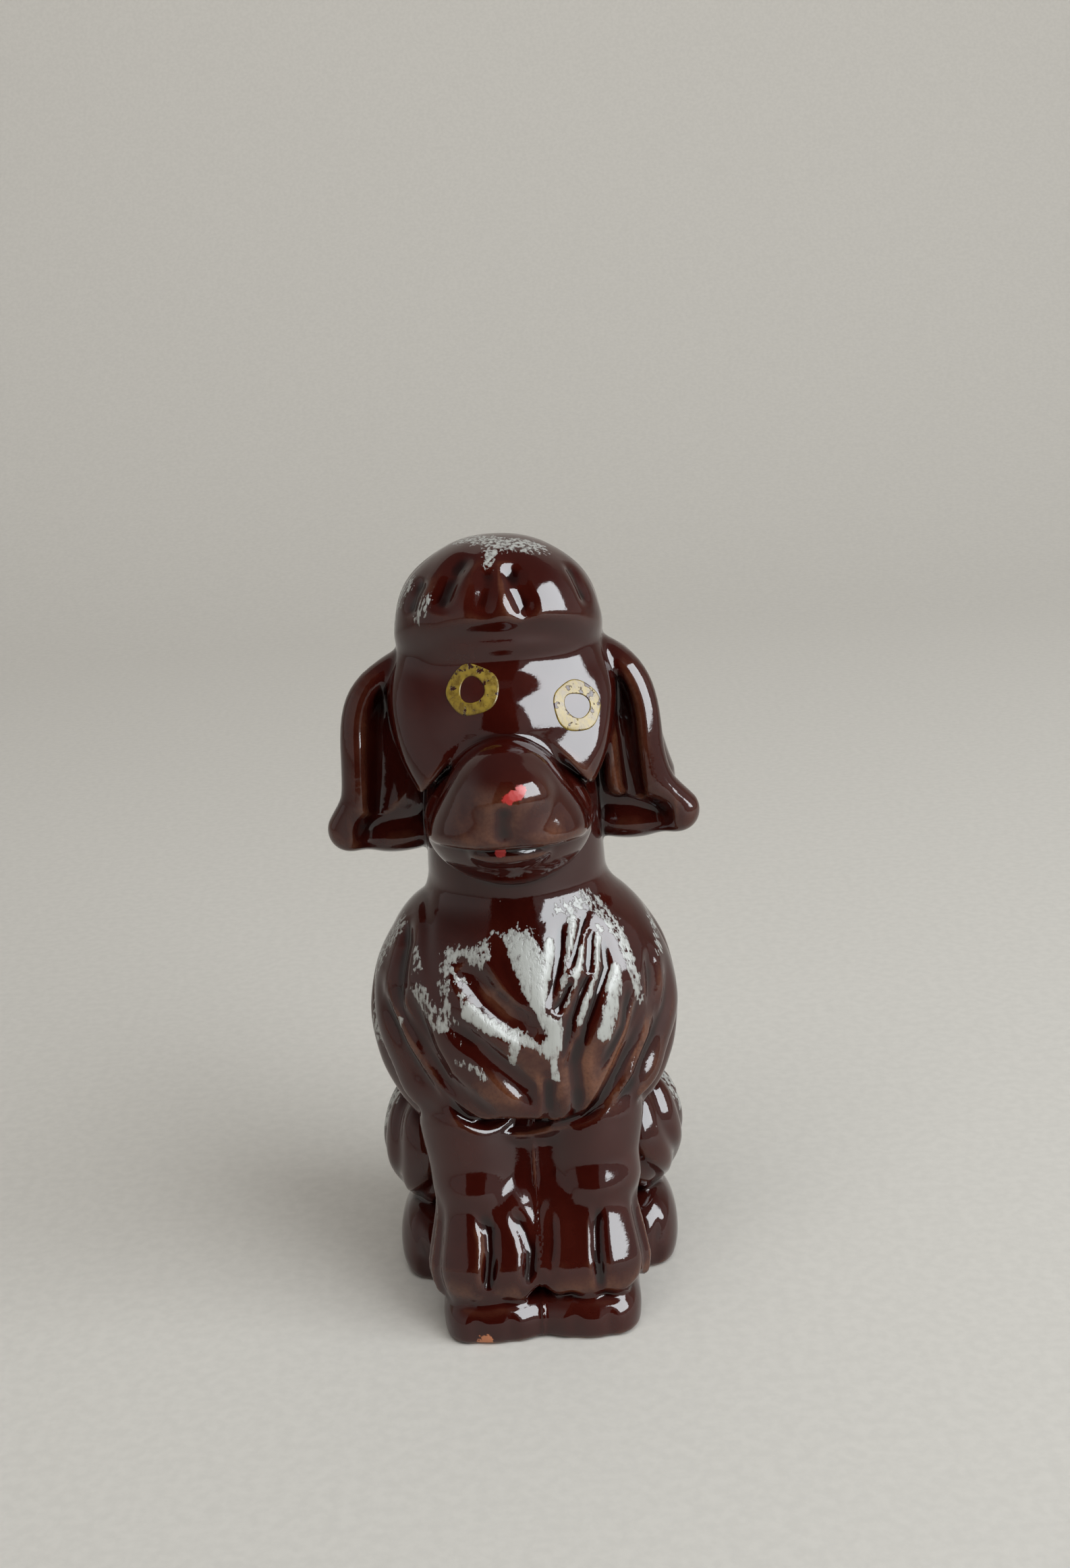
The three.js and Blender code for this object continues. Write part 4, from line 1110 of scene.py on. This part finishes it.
def noise_node(tree, place, per_mm, detail, stretch=(1, 1, 1)):
    scale = [per_mm / MM * part for part in stretch]
    spread = add_node(tree, "ShaderNodeVectorMath", {"operation": "MULTIPLY"}, {0: place, 1: scale})
    inputs = {"Vector": spread.outputs[0], "Scale": 1.0, "Detail": detail, "Roughness": 0.55}
    return add_node(tree, "ShaderNodeTexNoise", {}, inputs).outputs["Fac"]


def object_place(tree):
    return tree.nodes.new("ShaderNodeTexCoord").outputs["Object"]


def make_orange_peel():
    tree, given, result = new_group(
        "orange peel",
        [("Fine", "NodeSocketFloat", 1.0), ("Broad", "NodeSocketFloat", 1.0)],
        [("Height", "NodeSocketFloat")],
    )
    place = object_place(tree)
    fine = times(tree, noise_node(tree, place, 3.2, 2.0), given.outputs["Fine"])
    broad = times(tree, noise_node(tree, place, 0.8, 1.0), given.outputs["Broad"])
    tree.links.new(plus(tree, fine, broad), result.inputs["Height"])
    return tree


ORANGE_PEEL = make_orange_peel()
print("made group:", ORANGE_PEEL.name)

# %% [markdown]
# The glaze is a dark red-brown. On ridges and in wiped places it is thin, and the orange clay shows
# through. In hollows it pools almost black. Clouds and a fine grain keep the thin places uneven.

# %% Fired glaze
DEEP_GLAZE = (0.030, 0.0032, 0.0019, 1)
WARM_GLAZE = (0.040, 0.0052, 0.0030, 1)
THIN_GLAZE = (0.150, 0.056, 0.028, 1)
POOLED_GLAZE = (0.009, 0.0010, 0.0008, 1)


def ramp_node(tree, value, low, high, to_low=0.0, to_high=1.0):
    inputs = {"Value": value, "From Min": low, "From Max": high, "To Min": to_low, "To Max": to_high}
    node = add_node(tree, "ShaderNodeMapRange", {"interpolation_type": "SMOOTHSTEP"}, inputs)
    return node.outputs["Result"]


def mix_colour(tree, share, a, b):
    node = add_node(tree, "ShaderNodeMix", {"data_type": "RGBA"}, {})
    set_socket(tree, node.inputs[0], share)
    set_socket(tree, node.inputs[6], a)
    set_socket(tree, node.inputs[7], b)
    return node.outputs[2]


def make_fired_glaze():
    tree, given, result = new_group(
        "fired glaze",
        [("Bend", "NodeSocketFloat", 0.0), ("Wiped", "NodeSocketFloat", 0.0)],
        [("Color", "NodeSocketColor"), ("Roughness", "NodeSocketFloat")],
    )
    place = object_place(tree)
    cloud = noise_node(tree, place, 0.25, 3.0)
    grain = noise_node(tree, place, 2.6, 3.0)
    ridge = ramp_node(tree, given.outputs["Bend"], 0.25, 1.3)
    ridge = times(tree, ridge, ramp_node(tree, cloud, 0.3, 0.7, 0.35, 1.0))
    wiped = times(tree, given.outputs["Wiped"], ramp_node(tree, cloud, 0.3, 0.62))
    wiped = times(tree, wiped, ramp_node(tree, given.outputs["Bend"], -0.3, 0.5))
    thin = math_node(tree, "MAXIMUM", times(tree, ridge, 0.65), times(tree, wiped, 0.95))
    thin = times(tree, thin, ramp_node(tree, grain, 0.25, 0.6, 0.6, 1.0))
    pool = ramp_node(tree, given.outputs["Bend"], -0.2, -1.2)
    flow = noise_node(tree, place, 0.11, 3.0)
    colour = mix_colour(tree, ramp_node(tree, flow, 0.42, 0.68), DEEP_GLAZE, WARM_GLAZE)
    colour = mix_colour(tree, thin, colour, THIN_GLAZE)
    colour = mix_colour(tree, pool, colour, POOLED_GLAZE)
    tree.links.new(colour, result.inputs["Color"])
    tree.links.new(ramp_node(tree, grain, 0.2, 0.8, 0.05, 0.10), result.inputs["Roughness"])
    return tree


FIRED_GLAZE = make_fired_glaze()
print("made group:", FIRED_GLAZE.name)

# %% [markdown]
# The white is cold paint, brushed on after firing and never fired itself. It has worn off the glaze in
# flakes, so its edge is sharp and ragged, with streaks that follow the brush down the locks.

# %% Brushed paint
def make_brushed_paint():
    tree, given, result = new_group(
        "brushed paint",
        [("Strokes", "NodeSocketFloat", 0.0), ("Bend", "NodeSocketFloat", 0.0)],
        [("Mask", "NodeSocketFloat"), ("Height", "NodeSocketFloat")],
    )
    place = object_place(tree)
    streaks = noise_node(tree, place, 2.4, 3.0, (1, 1, 0.22))
    flakes = noise_node(tree, place, 1.3, 5.0)
    grip = ramp_node(tree, given.outputs["Bend"], -0.9, -0.1)
    amount = times(tree, given.outputs["Strokes"], grip)
    broken = plus(tree, times(tree, streaks, 0.6), times(tree, flakes, 0.4))
    uneven = times(tree, math_node(tree, "SUBTRACT", broken, 0.5), 2.6)
    left = plus(tree, amount, uneven)
    edge = ramp_node(tree, left, 0.5, 0.6)
    body = ramp_node(tree, left, 0.5, 1.0, 0.55, 1.0)
    mask = times(tree, edge, body)
    height = times(tree, mask, ramp_node(tree, streaks, 0.3, 0.7, 0.7, 1.0))
    tree.links.new(mask, result.inputs["Mask"])
    tree.links.new(height, result.inputs["Height"])
    return tree


BRUSHED_PAINT = make_brushed_paint()
print("made group:", BRUSHED_PAINT.name)

# %% [markdown]
# Small dabs and chips sit at one place each: a touch of red on nose and lip, and a chip at a toe that
# shows the red clay. The dry foot is where glaze was wiped off so that the piece wouldn't stick.

# %% Dab and dry foot
def make_dab():
    tree, given, result = new_group(
        "dab",
        [("Place", "NodeSocketVector", (0, 0, 0)), ("Size", "NodeSocketFloat", MM)],
        [("Mask", "NodeSocketFloat")],
    )
    place = object_place(tree)
    both = {0: place, 1: given.outputs["Place"]}
    away = add_node(tree, "ShaderNodeVectorMath", {"operation": "DISTANCE"}, both)
    share = math_node(tree, "DIVIDE", away.outputs["Value"], given.outputs["Size"])
    ragged = plus(tree, share, times(tree, noise_node(tree, place, 1.6, 3.0), 0.9))
    tree.links.new(ramp_node(tree, ragged, 1.1, 0.95), result.inputs["Mask"])
    return tree


def make_dry_foot():
    tree, _, result = new_group("dry foot", [], [("Mask", "NodeSocketFloat")])
    place = object_place(tree)
    height = add_node(tree, "ShaderNodeSeparateXYZ", {}, {0: place}).outputs["Z"]
    ragged = math_node(tree, "SUBTRACT", noise_node(tree, place, 0.7, 3.0), 0.5)
    edge = plus(tree, height, times(tree, ragged, 0.5 * MM))
    tree.links.new(ramp_node(tree, edge, 0.16 * MM, 0.08 * MM), result.inputs["Mask"])
    return tree


DAB = make_dab()
DRY_FOOT = make_dry_foot()
print("made groups:", DAB.name, DRY_FOOT.name)

# %% [markdown]
# One function makes the glaze for every clay piece. Painted pieces get the white strokes, and a piece
# with dabs gets those as well. Fired glaze is a glass, so it has the index of glass.

# %% Glaze materials
GLAZE_INDEX = 1.52
WHITE_PAINT = (0.39, 0.395, 0.37, 1)
RED_PAINT = (0.42, 0.022, 0.018, 1)
RED_CLAY = (0.47, 0.17, 0.075, 1)
PAINT_ROUGHNESS = 0.3
CLAY_ROUGHNESS = 0.7
PAINT_RISE = 0.05


def use_group(tree, group, inputs):
    return add_node(tree, "ShaderNodeGroup", {"node_tree": group}, inputs).outputs


def kept_value(tree, name):
    return add_node(tree, "ShaderNodeAttribute", {"attribute_name": name}, {}).outputs["Fac"]


def bumped(tree, height, strength, distance):
    inputs = {"Strength": strength, "Distance": distance, "Height": height}
    return add_node(tree, "ShaderNodeBump", {}, inputs).outputs["Normal"]


def new_material(name):
    material = bpy.data.materials.new(name)
    material.use_nodes = True
    return material, material.node_tree, material.node_tree.nodes["Principled BSDF"]


def on_clay(x, y, z):
    return tuple(AXIS + np.array([x, y, z]) * MM)


def make_glaze(name, painted, dabs):
    material, tree, shader = new_material(name)
    bend = kept_value(tree, "bend")
    glaze = use_group(tree, FIRED_GLAZE, {"Bend": bend, "Wiped": kept_value(tree, "wiped")})
    height = use_group(tree, ORANGE_PEEL, {"Fine": 0.0060, "Broad": 0.014})["Height"]
    colour = glaze["Color"]
    roughness = glaze["Roughness"]
    if painted:
        paint = use_group(tree, BRUSHED_PAINT, {"Strokes": kept_value(tree, "strokes"), "Bend": bend})
        colour = mix_colour(tree, paint["Mask"], colour, WHITE_PAINT)
        roughness = plus(tree, roughness, times(tree, paint["Mask"], PAINT_ROUGHNESS))
        height = plus(tree, height, times(tree, paint["Height"], PAINT_RISE))
    for place, size, dab_colour in dabs:
        mask = use_group(tree, DAB, {"Place": on_clay(*place), "Size": size * MM})["Mask"]
        colour = mix_colour(tree, mask, colour, dab_colour)
        roughness = plus(tree, roughness, times(tree, mask, PAINT_ROUGHNESS))
    dry = use_group(tree, DRY_FOOT, {})["Mask"]
    colour = mix_colour(tree, dry, colour, RED_CLAY)
    roughness = plus(tree, roughness, times(tree, dry, CLAY_ROUGHNESS))
    normal = bumped(tree, height, 1.0, MM)
    inputs = {"Base Color": colour, "Roughness": roughness, "IOR": GLAZE_INDEX, "Normal": normal}
    fill_inputs(tree, shader, inputs)
    return material


HEAD_DABS = [
    ((-0.1, -23.7, 71.5), 1.35, RED_PAINT),
    ((0.6, -23.6, 71.9), 1.4, RED_PAINT),
    ((1.2, -23.5, 72.3), 1.3, RED_PAINT),
    ((-1.6, -20.4, 64.2), 1.2, RED_PAINT),
]
PAW_DABS = [((-7.4, -22.0, 0.5), 1.7, RED_CLAY)]
PAINTED = ["topknot", "ruff", "left_thigh", "right_thigh", "tail_pompon"]
plain_glaze = make_glaze("brown glaze", False, [])
painted_glaze = make_glaze("brown glaze with white paint", True, [])
head_glaze = make_glaze("brown glaze with red dabs", False, HEAD_DABS)
paw_glaze = make_glaze("brown glaze with a chip", False, PAW_DABS)
for name in MEMBERS:
    finish = painted_glaze if name in PAINTED else plain_glaze
    if name == "head":
        finish = head_glaze
    if name == "right_front_paw":
        finish = paw_glaze
    pieces[name].data.materials.append(finish)
print("glazed pieces:", len(MEMBERS))

# %% [markdown]
# The eye enamel is a thick yellow, put on with a small brush. It is streaky, and where it has chipped the
# brown glaze shows. Both rings have one material, and their chips differ because they lie in other places.

# %% Eye enamel
YELLOW_ENAMEL = (0.26, 0.175, 0.016, 1)
THIN_ENAMEL = (0.14, 0.085, 0.009, 1)
CHIP_DEPTH = 0.08


def make_enamel():
    material, tree, shader = new_material("yellow eye enamel")
    place = object_place(tree)
    streaks = noise_node(tree, place, 1.6, 3.0, (1, 1, 0.6))
    chips = noise_node(tree, place, 1.1, 4.0)
    colour = mix_colour(tree, ramp_node(tree, streaks, 0.35, 0.65), THIN_ENAMEL, YELLOW_ENAMEL)
    chipped = ramp_node(tree, chips, 0.43, 0.40)
    colour = mix_colour(tree, chipped, colour, DEEP_GLAZE)
    peel = use_group(tree, ORANGE_PEEL, {"Fine": 0.004, "Broad": 0.01})["Height"]
    height = math_node(tree, "SUBTRACT", peel, times(tree, chipped, CHIP_DEPTH))
    roughness = ramp_node(tree, streaks, 0.2, 0.8, 0.22, 0.4)
    normal = bumped(tree, height, 1.0, MM)
    fill_inputs(tree, shader, {"Base Color": colour, "Roughness": roughness, "Normal": normal})
    return material


enamel = make_enamel()
RINGS = ("left_eye_ring", "right_eye_ring")
for node in RINGS:
    pieces[node].data.materials.append(enamel)
print("enamelled rings:", len(RINGS))

# %% [markdown]
# The figurine stands on a sheet of warm grey paper that sweeps up behind it. Glossy glaze shows the room:
# the paper gives a pale veil, a window at the right gives bright patches with sharp edges, and a dark card
# behind the camera keeps the face deep red. The card is seen only in the glaze. The window is two lamps
# in one place: one lights the paper and clay, and the other, just in front, is what the glaze reflects.

# %% Paper
PAPER = (0.60, 0.575, 0.53, 1)
PAPER_SHADE = 0.94
PAPER_WIDTH = 4.8
PAPER_FRONT = -2.0
SWEEP_START = 0.45
SWEEP_RADIUS = 0.5
SWEEP_STEPS = 16
PAPER_TOP = 1.6


def make_paper_material():
    material, tree, shader = new_material("warm grey paper")
    fibre = noise_node(tree, object_place(tree), 0.6, 4.0)
    shade = tuple(PAPER_SHADE * part for part in PAPER[:3]) + (1,)
    colour = mix_colour(tree, ramp_node(tree, fibre, 0.3, 0.7), shade, PAPER)
    normal = bumped(tree, fibre, 0.5, 0.1 * MM)
    fill_inputs(tree, shader, {"Base Color": colour, "Roughness": 0.9, "Normal": normal})
    return material


def make_paper():
    profile = [(PAPER_FRONT, 0.0), (SWEEP_START, 0.0)]
    for i in range(1, SWEEP_STEPS + 1):
        turn = math.radians(90 * i / SWEEP_STEPS)
        profile.append((SWEEP_START + SWEEP_RADIUS * math.sin(turn), SWEEP_RADIUS * (1 - math.cos(turn))))
    profile.append((SWEEP_START + SWEEP_RADIUS, PAPER_TOP))
    points = [(x, y, z) for y, z in profile for x in (-PAPER_WIDTH / 2, PAPER_WIDTH / 2)]
    faces = [(2 * i, 2 * i + 1, 2 * i + 3, 2 * i + 2) for i in range(len(profile) - 1)]
    mesh = bpy.data.meshes.new("paper")
    mesh.from_pydata(points, [], faces)
    mesh.shade_smooth()
    mesh.materials.append(make_paper_material())
    return put_in_scene("paper", mesh)


paper = make_paper()
print("paper:", [round(side, 2) for side in paper.dimensions])

# %% Dark card
HEART = Vector((0, 0, 0.06))
CARD_DISTANCE = 0.5
CARD_ACROSS = (-32, 17)
CARD_UP = (-8, 66)
CARD_STEPS = 12
CARD_FOOT = 0.004
FELT = (0.01, 0.009, 0.009, 1)


def towards(azimuth, elevation):
    """A direction by degrees round from the front and up from level."""
    a = math.radians(azimuth)
    e = math.radians(elevation)
    return Vector((math.sin(a) * math.cos(e), -math.cos(a) * math.cos(e), math.sin(e)))


def make_card():
    columns = np.linspace(*CARD_ACROSS, CARD_STEPS + 1)
    rows = np.linspace(*CARD_UP, CARD_STEPS + 1)
    points = [HEART + CARD_DISTANCE * towards(a, e) for e in rows for a in columns]
    points = [(x, y, max(z, CARD_FOOT)) for x, y, z in points]
    above = CARD_STEPS + 1
    faces = []
    for j in range(CARD_STEPS):
        for i in range(CARD_STEPS):
            corner = above * j + i
            faces.append((corner, corner + 1, corner + above + 1, corner + above))
    mesh = bpy.data.meshes.new("dark_card")
    mesh.from_pydata(points, [], faces)
    material, tree, shader = new_material("black felt")
    fill_inputs(tree, shader, {"Base Color": FELT, "Roughness": 1.0, "Specular IOR Level": 0.0})
    mesh.materials.append(material)
    card = put_in_scene("dark_card", mesh)
    card.visible_camera = False
    card.visible_diffuse = False
    card.visible_shadow = False
    return card


card = make_card()
print("dark card faces:", len(card.data.polygons))

# %% Window and room light
WINDOW_SIZE = (0.70, 0.55)
WINDOW_COLOUR = (0.91, 0.965, 1.0)
WINDOW_AIM = towards(56, 30.5)
DAYLIGHT_LEVEL = 3.9
DAYLIGHT_DISTANCE = 0.76
WINDOW_LEVEL = 11.5
WINDOW_DISTANCE = 0.75
CEILING_SIZE = (1.4, 1.4)
CEILING_LEVEL = 2.15
CEILING_PLACE = (0, -0.35, 1.5)
CEILING_TIP = math.radians(58)
PALE_WALL = (0.47, 0.46, 0.44, 1)
SHADED_CEILING = (0.11, 0.107, 0.103, 1)


def make_lamp(name, size, level):
    """A flat lamp. Its power grows with its area, so the level alone says how bright its face is."""
    light = bpy.data.lights.new(name, "AREA")
    light.shape = "RECTANGLE"
    light.size, light.size_y = size
    light.energy = level * math.pi * light.size * light.size_y
    return put_in_scene(name, light)


def make_window(name, level, distance):
    lamp = make_lamp(name, WINDOW_SIZE, level)
    lamp.data.color = WINDOW_COLOUR
    lamp.location = HEART + distance * WINDOW_AIM
    lamp.rotation_euler = WINDOW_AIM.to_track_quat("Z", "Y").to_euler()
    return lamp


def make_ceiling():
    lamp = make_lamp("ceiling", CEILING_SIZE, CEILING_LEVEL)
    lamp.location = CEILING_PLACE
    lamp.rotation_euler = (CEILING_TIP, 0, 0)
    lamp.visible_glossy = False
    return lamp


def make_room():
    """A room with pale walls and a ceiling that lies in shade."""
    room = bpy.data.worlds.new("room")
    room.use_nodes = True
    tree = room.node_tree
    heading = tree.nodes.new("ShaderNodeTexCoord").outputs["Generated"]
    height = add_node(tree, "ShaderNodeSeparateXYZ", {}, {0: heading}).outputs["Z"]
    colour = mix_colour(tree, ramp_node(tree, height, 0.3, 0.85), PALE_WALL, SHADED_CEILING)
    tree.links.new(colour, tree.nodes["Background"].inputs["Color"])
    bpy.context.scene.world = room
    return room


daylight = make_window("daylight", DAYLIGHT_LEVEL, DAYLIGHT_DISTANCE)
daylight.visible_glossy = False
window = make_window("window", WINDOW_LEVEL, WINDOW_DISTANCE)
window.visible_diffuse = False
ceiling = make_ceiling()
room = make_room()
bpy.context.scene.view_settings.view_transform = "Standard"
print("lamps in watts:", {lamp.name: round(lamp.data.energy, 2) for lamp in (daylight, window, ceiling)})

# %% [markdown]
# The camera is close in front and a little above the head, tipped down and leaning to one side, as the
# picture was taken by hand. Its focal length is given in picture pixels, and the sensor's height turns
# that into a lens.

# %% Camera
PICTURE_HEIGHT = 2324
FOCAL_PIXELS = 3000
SENSOR_HEIGHT = 36
TIP = 15.0
LEAN = -3.46
CAMERA_PLACE = (3.0, -249.7, 133.7)


def make_camera():
    data = bpy.data.cameras.new("camera")
    data.sensor_fit = "VERTICAL"
    data.sensor_height = SENSOR_HEIGHT
    data.lens = SENSOR_HEIGHT * FOCAL_PIXELS / PICTURE_HEIGHT
    data.clip_start = 0.01
    camera = put_in_scene("camera", data)
    camera.matrix_world = (
        Matrix.Translation(Vector(on_clay(*CAMERA_PLACE)))
        @ Matrix.Rotation(math.radians(90 - TIP), 4, "X")
        @ Matrix.Rotation(math.radians(LEAN), 4, "Z")
    )
    bpy.context.scene.camera = camera
    return camera


camera = make_camera()
print("lens:", round(camera.data.lens, 2), "mm")
